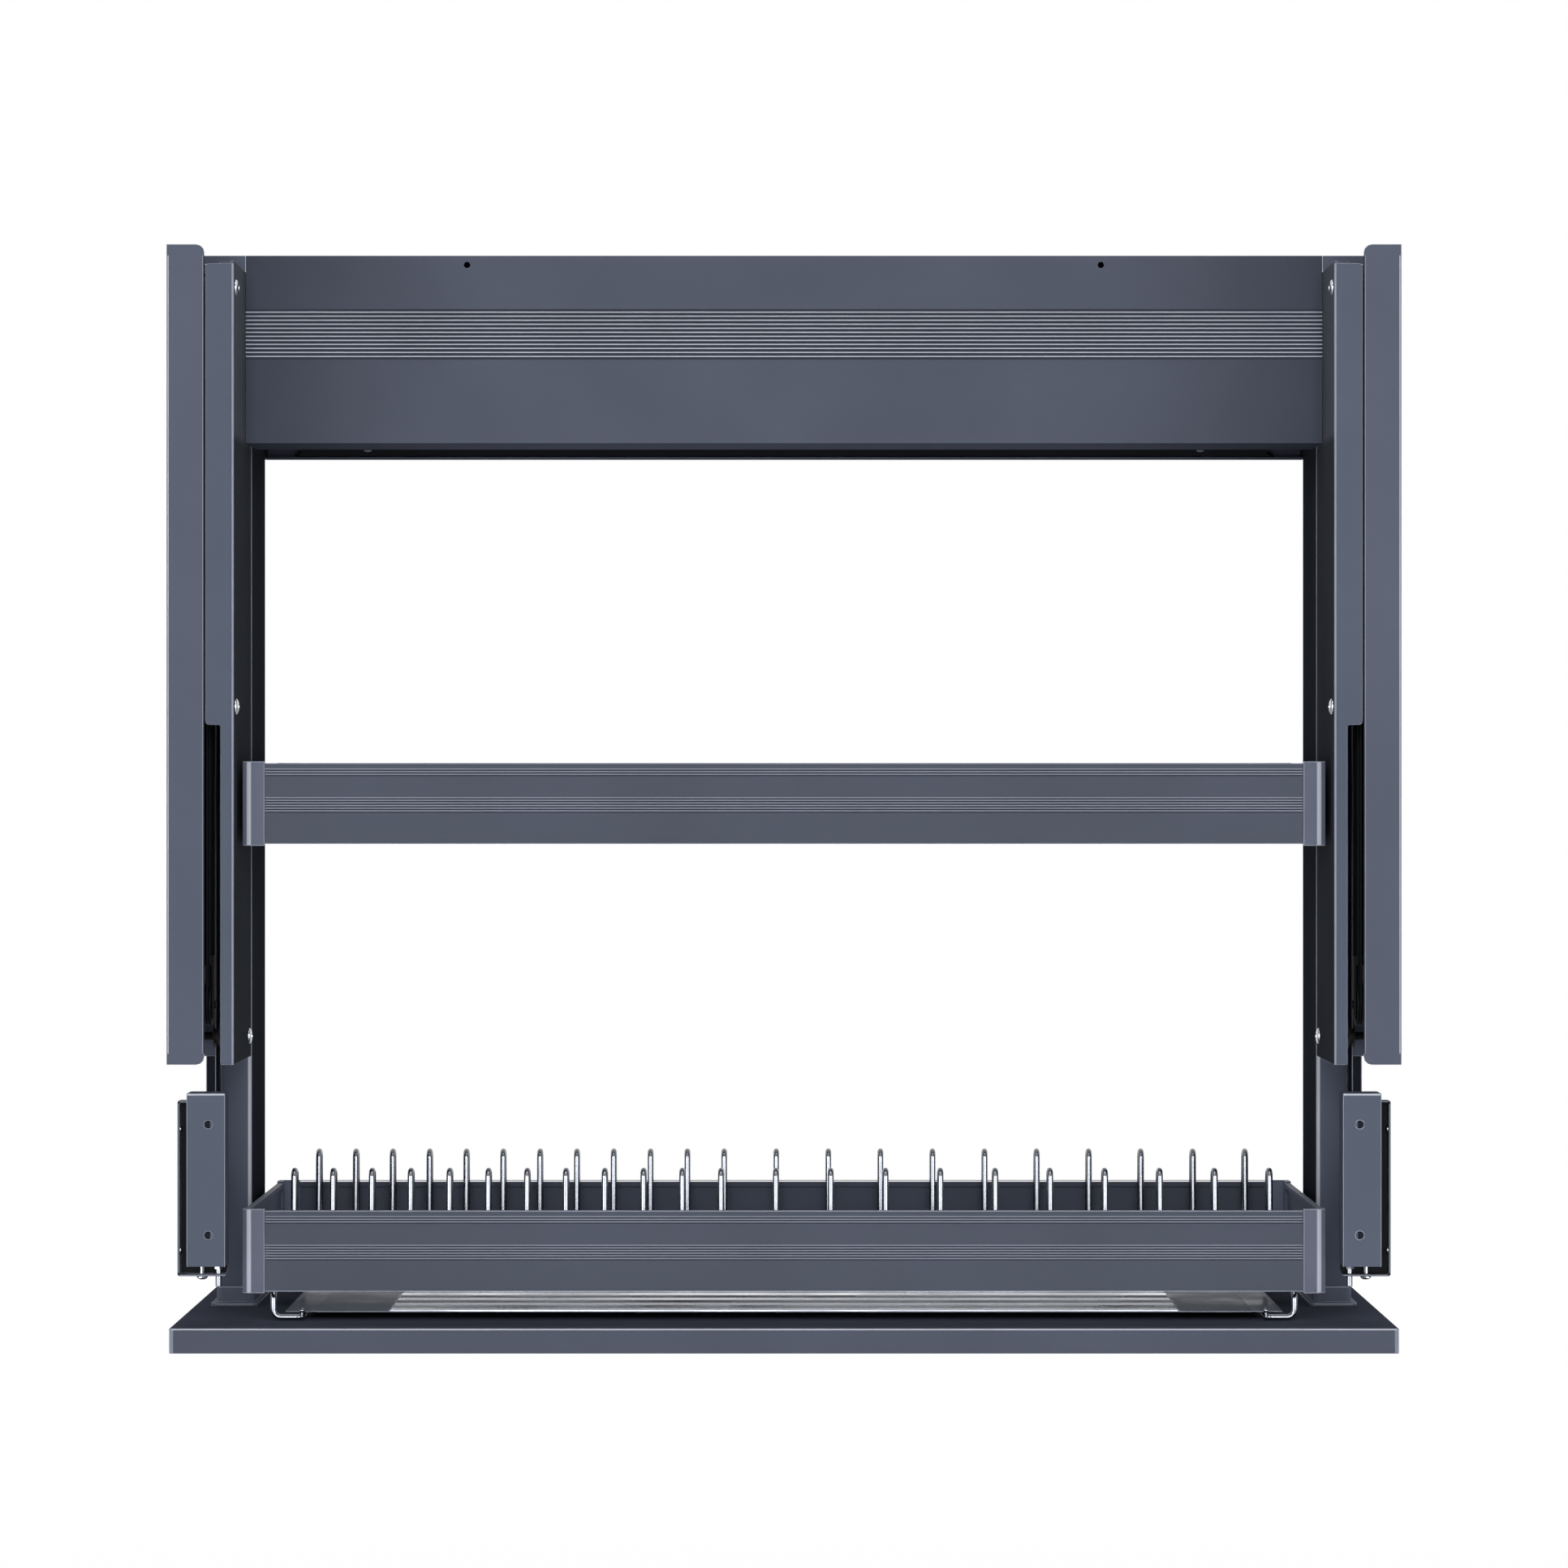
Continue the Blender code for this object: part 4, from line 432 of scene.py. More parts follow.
class RackColours(bpy.types.PropertyGroup):
    """Colours of the finishes, as sRGB hex."""

    housing_hex: StringProperty(name="Housing", description="Powder coat of the housings", default="#5c6272")
    cover_hex: StringProperty(name="Cover", description="Powder coat of the inner covers", default="#5f6676")
    fascia_hex: StringProperty(name="Fascia", description="Anodised fascia and top box", default="#5a5f6e")
    rail_hex: StringProperty(name="Rails", description="Anodised basket rails", default="#535866")
    # The back rails' tone is darker than the front rails' as painted shade
    back_rail_shade_hex: StringProperty(name="Back rails", description="Anodised back rails", default="#494d59")
    post_hex: StringProperty(name="Posts", description="Anodised posts", default="#646a7b")
    corner_hex: StringProperty(name="Corners", description="Painted basket corners", default="#646a7b")
    groove_hex: StringProperty(
        name="Grooves", description="Shaded grooves of rails and fascia", default="#3d414c")
    # The lands' pale tone is a painted highlight
    land_highlight_hex: StringProperty(
        name="Lands", description="Burnished lands between the grooves", default="#868c9c")
    # The bright lines' tone is a painted highlight
    bright_highlight_hex: StringProperty(name="Bright lines", description="Cut lines of the fascia", default="#b9bec9")
    # The edges' pale tone is a painted highlight
    edge_highlight_hex: StringProperty(name="Edges", description="Burnished outer edges", default="#9ba1b0")
    # The glints' tone is a painted highlight
    glint_highlight_hex: StringProperty(name="Glints", description="Polished narrow edges", default="#ccd0da")
    # The side rails' tone is paler than the front rails' as painted light
    side_rail_lit_hex: StringProperty(name="Side rails", description="Anodised side rails", default="#6c7282")
    # The feet's tone is paler than the cover's as painted light
    foot_lit_hex: StringProperty(name="Feet", description="Powder coat of the posts' feet", default="#6d7384")
    panel_hex: StringProperty(name="Panel", description="Lacquer of the bottom board", default="#595e6d")


class RackSizes(bpy.types.PropertyGroup):
    """Sizes of the wire work and edges, in metres, as the CAD model has them."""

    loop_wire: FloatProperty(
        name="Loop wire", description="Radius of the plate loops' wire", default=0.0019, unit="LENGTH")
    loop_top: FloatProperty(
        name="Loop top", description="Height of the plate loops' crowns", default=0.1112, unit="LENGTH")
    rod_wire: FloatProperty(
        name="Rod wire", description="Radius of the rows' long rods", default=0.0025, unit="LENGTH")
    grid_wire: FloatProperty(
        name="Grid wire", description="Radius of the shelf grid's cross wires", default=0.0016, unit="LENGTH")
    runner_wire: FloatProperty(
        name="Runner wire", description="Radius of the tray runners' wire", default=0.0019, unit="LENGTH")
    close_pitch: FloatProperty(
        name="Close pitch", description="Spacing of the close plate loops", default=0.0245, unit="LENGTH")
    wide_pitch: FloatProperty(
        name="Wide pitch", description="Spacing of the wide plate loops", default=0.03465, unit="LENGTH")
    close_count: IntProperty(
        name="Close loops", description="How many loops stand close together", default=12)
    wide_count: IntProperty(
        name="Wide loops", description="How many loops stand wide apart", default=10)
    row_start: FloatProperty(
        name="Row start", description="First loop, from the middle", default=-0.3093, unit="LENGTH")
    edge_ease: FloatProperty(
        name="Edge ease", description="Radius of the sheet's and extrusions' edges", default=0.0006,
        unit="LENGTH")


# Finishes on the CAD nodes

PAIR_FINISHES = {
    "housing": ("housing",), "cover": ("inner_cover", "top_tie", "bracket_box"), "foot": ("post_foot",),
    "post": ("post",), "dark": ("bracket_channel", "gas_cylinder", "gas_rod", "lift_cable"),
    "rail": ("guide_rail",), "wire": ("bracket_screw",), "nylon": ("carriage", "moving_pulley", "top_pulley"),
    "rubber": ("lower_buffer",), "side_rail": ("shelf_side_rail", "basket_side_rail"),
}
SINGLE_FINISHES = {
    "extrusion": ("shelf_front_rail", "basket_front_rail"),
    "back_rail": ("shelf_back_rail", "basket_back_rail"),
    "fascia": ("top_fascia", "top_shell"), "pan": ("top_pan",), "panel": ("bottom_panel",),
    "wire": ("shelf_grid", "front_plate_row", "back_plate_row", "drip_tray"),
}
# Nodes whose eased edges carry a painted highlight
PALE_EDGED = ("housing", "inner_cover", "bracket_box", "bracket_channel", "post_foot", "guide_rail")
PLAIN_EDGED = ("top_tie",)


def ease_edges(node, width, pale):
    """Eases a CAD node's sharp edges, and where they are pale gives the bevel a painted highlight."""
    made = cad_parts[node]
    weld = made.modifiers.new("joined_facets", "WELD")
    weld.merge_threshold = 0.01 * MM
    bevel = soften(made, width, 50)
    if pale:
        made.data.materials.append(MATERIALS["edge"])
        bevel.material = len(made.material_slots) - 1


def second_finish(node, finish, chosen):
    """Gives some faces of a CAD node another finish: painted shade on the cover's inward web, or the back rail's
    corners.
    """
    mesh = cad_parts[node].data
    mesh.materials.append(MATERIALS[finish])
    for polygon in mesh.polygons:
        if chosen(polygon):
            polygon.material_index = len(mesh.materials) - 1


class RACK_OT_finishes(bpy.types.Operator):
    """Gives every CAD node its finish and eases the edges of sheet and extrusions"""

    bl_idname = "rack.finishes"
    bl_label = "Finishes"

    def execute(self, context):
        build_materials(context.scene.rack_colours)
        for finish, stems in PAIR_FINISHES.items():
            for stem in stems:
                for label in SIDES:
                    clothe(f"{stem}_{label}", finish)
        for finish, nodes in SINGLE_FINISHES.items():
            for node in nodes:
                clothe(node, finish)
        for label, side in SIDES.items():
            # Painted shade on the web's inward faces
            second_finish(f"inner_cover_{label}", "web", lambda polygon: polygon.normal.x * side < -0.9)
        for label in BASKETS:
            inner = reach(f"{label}_front_corner_right")[0] - 0.1 * MM
            second_finish(f"{label}_back_rail", "corner", lambda polygon: abs(polygon.center.x) > inner)
        for stem in PALE_EDGED + PLAIN_EDGED:
            for label in SIDES:
                ease_edges(f"{stem}_{label}", context.scene.rack_sizes.edge_ease, stem in PALE_EDGED)
        return {"FINISHED"}


# Wire work

def loop_places(sizes):
    """Where the loops stand along X."""
    close = [sizes.row_start + sizes.close_pitch * i for i in range(sizes.close_count)]
    return close + [close[-1] + sizes.wide_pitch * (i + 1) for i in range(sizes.wide_count)]


class RACK_OT_plate_rows(bpy.types.Operator):
    """Bends the plate loops and lays them on their rods"""

    bl_idname = "rack.plate_rows"
    bl_label = "Plate rows"

    def execute(self, context):
        sizes = context.scene.rack_sizes
        for row in ("front_plate_row", "back_plate_row"):
            low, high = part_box(row)
            rod = sizes.rod_wire
            z = low[2] + rod * 0.87
            near, far = low[1] + rod, high[1] - rod
            middle = (near + far) / 2
            top = sizes.loop_top - sizes.loop_wire
            head = 5 * MM
            side = ((near, z), (middle - head, top), (middle + head, top), (far, z))
            loops = [bent([(x, *corner) for corner in side], head * 0.95) for x in loop_places(sizes)]
            wire(f"{row}_loops", loops, sizes.loop_wire, (row,))
            wire(f"{row}_rods", [[(low[0], y, z), (high[0], y, z)] for y in (near, far)], rod)
        return {"FINISHED"}


class RACK_OT_shelf_grid(bpy.types.Operator):
    """Lays the shelf's wire grid"""

    bl_idname = "rack.shelf_grid"
    bl_label = "Shelf grid"

    def execute(self, context):
        low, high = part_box("shelf_grid")
        z = (low[2] + high[2]) / 2
        edge = 2.2 * MM
        front, rear = low[1] + edge, high[1] - edge
        rods = [[(low[0], y, z), (high[0], y, z)] for y in (front, rear)]
        wire("shelf_grid_rods", rods, edge, ("shelf_grid",))
        pitch = 26 * MM
        cross = [[(pitch * i, front, z), (pitch * i, rear, z)] for i in range(-12, 13)]
        wire("shelf_grid_cross_wires", cross, context.scene.rack_sizes.grid_wire)
        return {"FINISHED"}


class RACK_OT_tray_runners(bpy.types.Operator):
    """Bends the tray's two runners and their upturned stops"""

    bl_idname = "rack.tray_runners"
    bl_label = "Tray runners"

    def execute(self, context):
        radius = context.scene.rack_sizes.runner_wire
        angles = [math.pi * step / 8 for step in range(9)]
        ball = [(1.75 * math.sin(angle), -1.75 * math.cos(angle)) for angle in angles]
        for label, side in SIDES.items():
            low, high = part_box(f"tray_runner_{label}")
            outer = side * (reach(f"tray_runner_{label}")[1] - radius)
            inner = outer - side * 17.9 * MM
            front, rear = low[1] + radius, high[1] - radius
            bottom, top = low[2] + radius, high[2] - radius
            path = bent((
                (outer, front, top), (outer, front, bottom), (inner, front, bottom),
                (inner, rear, bottom), (outer, rear, bottom), (outer, rear, top),
            ), 4.5 * MM, closed=True)
            wire(f"tray_runner_wire_{label}", [path], radius, (f"tray_runner_{label}",), closed=True)
            foot = (inner, front + 0.5 * MM, bottom)
            piece(f"tray_stop_tip_{label}", turn(ball, (*foot[:2], bottom + 4.2 * MM), UP, 20), "wire", LIFT)
            wire(f"tray_stop_stem_{label}", [[foot, (*foot[:2], bottom + 4 * MM)]], 1.0 * MM)
        return {"FINISHED"}


# Drip tray: its rim, a crease near each end, and six ribs with steep sides

RIM_HEIGHT, RIM_WIDTH = 0.9 * MM, 1.6 * MM
CREASE_HEIGHT, CREASE_HALF, CREASE_INSET = 0.35 * MM, 1.5 * MM, 18 * MM
RIB_HEIGHT, RIB_HALF, RIB_SLOPE = 1.3 * MM, 8 * MM, 0.3 * MM
RIB_END, RIB_FIRST, RIB_PITCH, RIB_COUNT = 250.5 * MM, 11 * MM, 32.3 * MM, 6
# Where the mesh is cut, in millimetres from each end of the tray and from the middle of a rib
END_CUTS = (0, 0.5, 1.0, 1.6, 2.4, 16, 17, 18, 19, 20, 61, 62, 63, 63.9, 64, 65.9, 66)
RIB_CUTS = (8.1, 8.0, 7.7, 7.6)


def rib_share(x, y, front):
    """Share of a rib's full height: flat on top, 16 mm wide at its foot and 15.4 mm at its top."""
    inside = min(max((RIB_END - abs(x)) / (2 * MM), 0.0), 1.0)
    off = RIB_PITCH / 2 - abs((y - front - RIB_FIRST) % RIB_PITCH - RIB_PITCH / 2)
    return inside * min(max((RIB_HALF - off) / RIB_SLOPE, 0.0), 1.0)


def tray_rise(x, y, low, high):
    """Height of the tray's face above its floor."""
    end = min(x - low[0], high[0] - x)
    height = RIM_HEIGHT * max(0.0, 1 - min(end, y - low[1], high[1] - y) / RIM_WIDTH)
    height += CREASE_HEIGHT * max(0.0, 1 - abs(end - CREASE_INSET) / CREASE_HALF)
    return height + RIB_HEIGHT * rib_share(x, y, low[1])


class RACK_OT_drip_tray(bpy.types.Operator):
    """Presses the drip tray: a rim, a crease near each end and raised ribs across its middle"""

    bl_idname = "rack.drip_tray"
    bl_label = "Drip tray"

    def execute(self, context):
        low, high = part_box("drip_tray")
        floor = low[2] + 0.2 * MM
        across = [(RIB_END - 1.5 * MM) * i / 12 for i in range(-12, 13)]
        for cut in END_CUTS:
            across += [low[0] + cut * MM, high[0] - cut * MM]
        deep = [low[1] + (high[1] - low[1]) * i / 60 for i in range(61)]
        for centre in [low[1] + RIB_FIRST + RIB_PITCH * i for i in range(RIB_COUNT)]:
            cuts = (centre + sign * cut * MM for sign in (-1, 1) for cut in RIB_CUTS)
            deep += [cut for cut in cuts if low[1] < cut < high[1]]
        xs, ys = (sorted({round(cut, 5) for cut in cuts}) for cuts in (across, deep))
        shape = bmesh.new()
        grid = [ring(shape, ((x, y, floor + tray_rise(x, y, low, high)) for x in xs)) for y in ys]
        for one, two in zip(grid, grid[1:]):
            for i in range(len(xs) - 1):
                shape.faces.new((one[i], one[i + 1], two[i + 1], two[i]))
        # Rib tops take the near-white finish as painted highlight, rib sides a paler one as painted light
        for face in shape.faces:
            middle = face.calc_center_median()
            share = rib_share(middle.x, middle.y, low[1])
            face.material_index = 1 if share > 0.9 else 2 if share > 0.1 else 0
        made = piece("pressed_drip_tray", shape, "tray", "drip_tray", ("drip_tray",))
        for finish in ("rib", "rib_front"):
            made.data.materials.append(MATERIALS[finish])
        sheet = made.modifiers.new("sheet", "SOLIDIFY")
        sheet.thickness = 0.6 * MM
        sheet.offset = -1.0
        return {"FINISHED"}


# Lines, gleams and trims on sheet and extrusions: painted highlights and painted shade

# A gleam on a front face stands a hair proud of it, so that it shows, and is sunk a little into it
PROUD, SUNK = 0.01 * MM, 0.3 * MM


class RACK_OT_bright_lines(bpy.types.Operator):
    """Lays the fascia's bright lines and the basket rails' fine lines: painted highlights, with painted shade
    between
    """

    bl_idname = "rack.bright_lines"
    bl_label = "Bright lines"

    def execute(self, context):
        low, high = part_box("top_fascia")
        # The CAD ribs stand 0.5 mm proud of the face; the lines lie on their crests as painted highlights, and a
        # band of painted shade lies between them
        crest, first, pitch, count = low[1], high[2] - 35.8 * MM, 2.55 * MM, 12
        last = first - pitch * (count - 1)
        band, lines = bmesh.new(), bmesh.new()
        for z in [first + pitch / 2] + [first - pitch * (index + 0.5) for index in range(count)]:
            half = 0.75 * MM if last - pitch < z < first + pitch else 0.3 * MM
            slab(band, (low[0], crest + 0.46 * MM, z - half), (high[0], crest + 0.6 * MM, z + half))
        for z in [first - pitch * index for index in range(count)]:
            slab(lines, (low[0], crest - 0.02 * MM, z - 0.36 * MM),
                 (high[0], crest + SUNK, z + 0.36 * MM), 0.08 * MM)
        piece("fascia_shaded_band", band, "groove", FIXED)
        piece("fascia_bright_lines", lines, "bright", FIXED)
        for label in BASKETS:
            self.rail_lines(label, "front", -1)
            self.rail_lines(label, "back", 1)
        return {"FINISHED"}

    @staticmethod
    def rail_lines(label, end, facing):
        """Painted highlights on a rail's outer lands and along its edges, painted shade in its grooves, and a back
        rail's inner lands as painted highlights.
        """
        low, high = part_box(f"{label}_{end}_rail")
        face = low[1] if facing < 0 else high[1]
        pitch = 1.65 * MM
        grooves, lands, edges = bmesh.new(), bmesh.new(), bmesh.new()

        def strip(shape, z, half, proud, deep, edge=0.0):
            slab(shape, (low[0], face + facing * proud * MM, z - half * MM),
                 (high[0], face - facing * deep * MM, z + half * MM), edge)

        for drop, count in ((4.45 * MM, 3), (22.3 * MM, 6)):
            for z in [high[2] - drop - pitch * i for i in range(count)]:
                strip(grooves, z, 0.42, -0.2, 0.48)
                strip(lands, z + pitch / 2, 0.33, 0.03, 0.2)
        for z in (low[2] + 0.25 * MM, high[2] - 0.25 * MM):
            strip(edges, z, 0.25, 0.02, 0.4, 0.08 * MM)
        if end == "back":
            inside = bmesh.new()
            for drop in (3.6, 5.3, 7.0):
                strip(inside, high[2] - drop * MM, 0.35, -1.7, 1.95)
            piece(f"{label}_back_rail_inner_lands", inside, "edge", LIFT)
        for finish, shape in (("groove", grooves), ("land", lands), ("edge", edges)):
            piece(f"{label}_{end}_rail_{finish}s", shape, finish, LIFT)


class RACK_OT_edge_trims(bpy.types.Operator):
    """Lays painted highlights and painted shade strips on the edges of covers, posts, housings, brackets and feet
    """

    bl_idname = "rack.edge_trims"
    bl_label = "Edge trims"

    def execute(self, context):
        for label, side in SIDES.items():
            low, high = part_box(f"inner_cover_{label}")
            inner = side * reach(f"inner_cover_{label}")[0]
            # A painted highlight over the bend of the cover's web
            shape = bmesh.new()
            rim(shape, (inner, low[1]), 1.8 * MM, (-side, -1), "Z", low[2], high[2] - 1.6 * MM, (24, 75))
            piece(f"cover_bend_gleam_{label}", shape, "edge", FIXED)
            self.post_trims(label, side)
            self.housing_trims(label, side)
            self.box_trims(label, side)
            self.channel_trims(label, side)
            self.foot_trims(label, side)
        return {"FINISHED"}

    @staticmethod
    def post_trims(label, side):
        """The post's edge as a painted highlight, a near-black strip of painted shade on its inner side, and a
        strip that covers its outer side.
        """
        low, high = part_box(f"post_{label}")
        inner, outer = reach(f"post_{label}")
        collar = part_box(f"post_foot_{label}")[1][2]
        top = high[2] - 0.2 * MM
        shape = bmesh.new()
        rim(shape, (side * inner, low[1]), 4.0 * MM, (-side, -1), "Z", low[2], high[2], (22, 66))
        piece(f"post_edge_gleam_{label}", shape, "glint", LIFT)
        # A near-black strip on the post's inner side: painted shade
        slab_piece(f"post_insert_{label}",
                   (side * (inner - 0.15 * MM), low[1] + 3.4 * MM, collar + 0.3 * MM),
                   (side * (inner + 0.2 * MM), high[1] - 4 * MM, top), "insert", LIFT, 0.1 * MM)
        slab_piece(f"post_cover_strip_{label}",
                   (side * (outer - 0.1 * MM), low[1] + 0.05 * MM, collar + 1.1 * MM),
                   (side * (outer + 2.2 * MM), high[1] - 0.3 * MM, top), "post", LIFT, 0.2 * MM)

    @staticmethod
    def housing_trims(label, side):
        """Painted highlights on the housing's outer edge and beside the cover, and a dark line of painted shade in
        the gap beside the cover.
        """
        low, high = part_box(f"housing_{label}")
        inner, outer = reach(f"housing_{label}")
        for name, near, far, finish in (
            ("housing_outer_gleam", outer - 1.25 * MM, outer - 0.7 * MM, "glint"),
            ("housing_inner_gleam", inner + 0.7 * MM, inner + 1.2 * MM, "land"),
            ("housing_inner_shade", inner - 0.01 * MM, inner + 0.5 * MM, "dark"),
        ):
            slab_piece(f"{name}_{label}", (side * near, low[1] - PROUD, low[2] + 7 * MM),
                       (side * far, low[1] + SUNK, high[2] - 7 * MM), finish, FIXED)

    @staticmethod
    def box_trims(label, side):
        """Painted highlights on the bracket box's front edges and on the collars of its two holes, and the nut
        plates behind them, the back one dark as painted shade.
        """
        body = f"bracket_box_{label}"
        low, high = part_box(body)
        # The box ends 13.9 mm above the tip of its pin
        bottom = low[2] + 13.9 * MM
        shape = bmesh.new()
        rim(shape, (low[1], high[2]), 0.6 * MM, (-1, 1), "X", low[0] + 0.3 * MM, high[0] - 0.3 * MM)
        for x, sign in ((low[0], -1), (high[0], 1)):
            rim(shape, (x, low[1]), 0.6 * MM, (sign, -1), "Z", bottom, high[2] - 0.3 * MM)
        piece(f"box_edge_gleam_{label}", shape, "edge", body)
        slab_piece(f"box_top_glint_{label}", (low[0] + 0.5 * MM, low[1] - PROUD, high[2] - 1.3 * MM),
                   (high[0] - 0.5 * MM, low[1] + SUNK, high[2] - 0.5 * MM), "glint", body)
        x = side * (reach(body)[1] - 13.5 * MM)
        for index, z in enumerate((high[2] - 19.4 * MM, high[2] - 88.2 * MM)):
            collar = turn(tube(2.6, 2.85, -0.01, 0.4), (x, low[1], z), (0, 1, 0), 24)
            piece(f"box_hole_collar_{label}_{index}", collar, "edge", body)
            # Behind each hole, a cover-coloured nut plate and a dark back plate, the back one painted shade
            for name, far, depth, finish in (("nut_plate", -1, 1.41, "cover"), ("nut_back", 4, 2.3, "rail")):
                near = low[1] + depth * MM
                slab_piece(f"box_{name}_{label}_{index}", (x - side * 4 * MM, near, z - 4 * MM),
                           (x + side * far * MM, near + 0.7 * MM, z + 4 * MM), finish, body)

    @staticmethod
    def channel_trims(label, side):
        """Painted highlights along the front edges of the bracket channel's flanges."""
        low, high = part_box(f"bracket_channel_{label}")
        outer = reach(f"bracket_channel_{label}")[1]
        shape = bmesh.new()
        for near, far, bottom, top in (
            (outer - 30 * MM, outer - 1.5 * MM, low[2] + 0.3 * MM, low[2] + 1.0 * MM),
            (outer - 7 * MM, outer - 1.5 * MM, high[2] - 1.0 * MM, high[2] - 0.4 * MM),
            (outer - 0.9 * MM, outer - 0.3 * MM, low[2] + 2 * MM, high[2] - 2 * MM),
        ):
            slab(shape, (side * near, low[1] - PROUD, bottom), (side * far, low[1] + SUNK, top))
        piece(f"channel_edge_gleam_{label}", shape, "land", FIXED)

    @staticmethod
    def foot_trims(label, side):
        """Painted highlights on the post's foot: along the front of its collar's rim and of its flange."""
        low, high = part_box(f"post_foot_{label}")
        near, far = reach(f"post_foot_{label}")
        inner, outer = reach(f"post_{label}")
        # The collar is 2 mm thick and stands 0.3 mm off the post
        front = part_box(f"post_{label}")[0][1] - 2.3 * MM
        shape = bmesh.new()
        slab(shape, (side * (inner - 0.3 * MM), front - 0.03 * MM, high[2] - 0.9 * MM),
             (side * (outer + 0.3 * MM), front + SUNK, high[2] - 0.1 * MM))
        slab(shape, (side * (near + 3 * MM), low[1] - PROUD, low[2] + 1.0 * MM),
             (side * (far - 3 * MM), low[1] + SUNK, low[2] + 1.9 * MM))
        piece(f"foot_edge_gleam_{label}", shape, "edge", LIFT)


class RACK_OT_corners(bpy.types.Operator):
    """Moulds the baskets' front corners with eased ends"""

    bl_idname = "rack.corners"
    bl_label = "Basket corners"

    def execute(self, context):
        for label in BASKETS:
            for name, side in SIDES.items():
                self.corner(f"{label}_front_corner_{name}", side)
        return {"FINISHED"}

    @staticmethod
    def corner(node, side):
        """A flat face that turns over a rounding into a slanted cheek, which ends at the side wall."""
        low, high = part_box(node)
        near, far = reach(node)
        inner, outer = side * near, side * far
        wall, cheek = 4 * MM, 3.2 * MM
        face_end = Vector((outer - side * 4.4 * MM, low[1], 0))
        cheek_end = Vector((outer, low[1] + cheek, 0))
        arc = fillet(Vector((inner, low[1], 0)), face_end, cheek_end, 7 * MM, 10)
        arc += fillet(face_end, cheek_end, Vector((outer, high[1], 0)), 1.2 * MM, 4)
        hollow = fillet(
            Vector((outer - side * wall, high[1], 0)), Vector((outer - side * wall, low[1] + wall, 0)),
            Vector((inner, low[1] + wall, 0)), wall, 6,
        )
        outline = [
            (inner, low[1]), *(point.to_2d() for point in arc), (outer, high[1]),
            (outer - side * wall, high[1]), *(point.to_2d() for point in hollow), (inner, low[1] + wall),
        ]
        shape = bmesh.new()
        prism(shape, outline, "Z", low[2], high[2])
        # Faces of the rounding take a bright strip, flanked by paler faces, as a painted highlight; the eased
        # edges take the pale edge finish, also painted highlight
        for face in shape.faces:
            middle = face.calc_center_median()
            share = abs(outer - middle.x) / MM
            if len(face.verts) == 4 and middle.y < low[1] + cheek and 2.4 < share < 6.0:
                face.material_index = 2 if 3.1 < share < 5.2 else 3
        made = piece(f"{node}_moulding", shape, "corner", LIFT, (node,))
        for finish in ("edge", "bright", "land"):
            made.data.materials.append(MATERIALS[finish])
        soften(made, 0.5 * MM, 60).material = 1


class RACK_OT_panel_edges(bpy.types.Operator):
    """Lays painted highlights along the bottom board's front edges"""

    bl_idname = "rack.panel_edges"
    bl_label = "Panel edges"

    def execute(self, context):
        low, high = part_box("bottom_panel")
        line, bands = bmesh.new(), bmesh.new()
        # A near-white line along the top front edge and pale strips at both ends: painted highlights
        slab(line, (low[0] + 1 * MM, low[1] - 0.02 * MM, high[2] - 1.1 * MM),
             (high[0] - 1 * MM, low[1] + 0.4 * MM, high[2] - 0.1 * MM), 0.1 * MM)
        for x, sign in ((low[0], -1), (high[0], 1)):
            rim(line, (x, low[1]), 0.6 * MM, (sign, -1), "Z", low[2] + 0.6 * MM, high[2] - 0.6 * MM)
            slab(bands, (x - sign * 0.5 * MM, low[1] - 0.015 * MM, low[2] + 0.3 * MM),
                 (x - sign * 2.6 * MM, low[1] + SUNK, high[2] - 1.0 * MM))
        piece("board_front_edge_line", line, "bright", LIFT)
        piece("board_end_highlights", bands, "land", LIFT)
        return {"FINISHED"}


# Screws and fittings

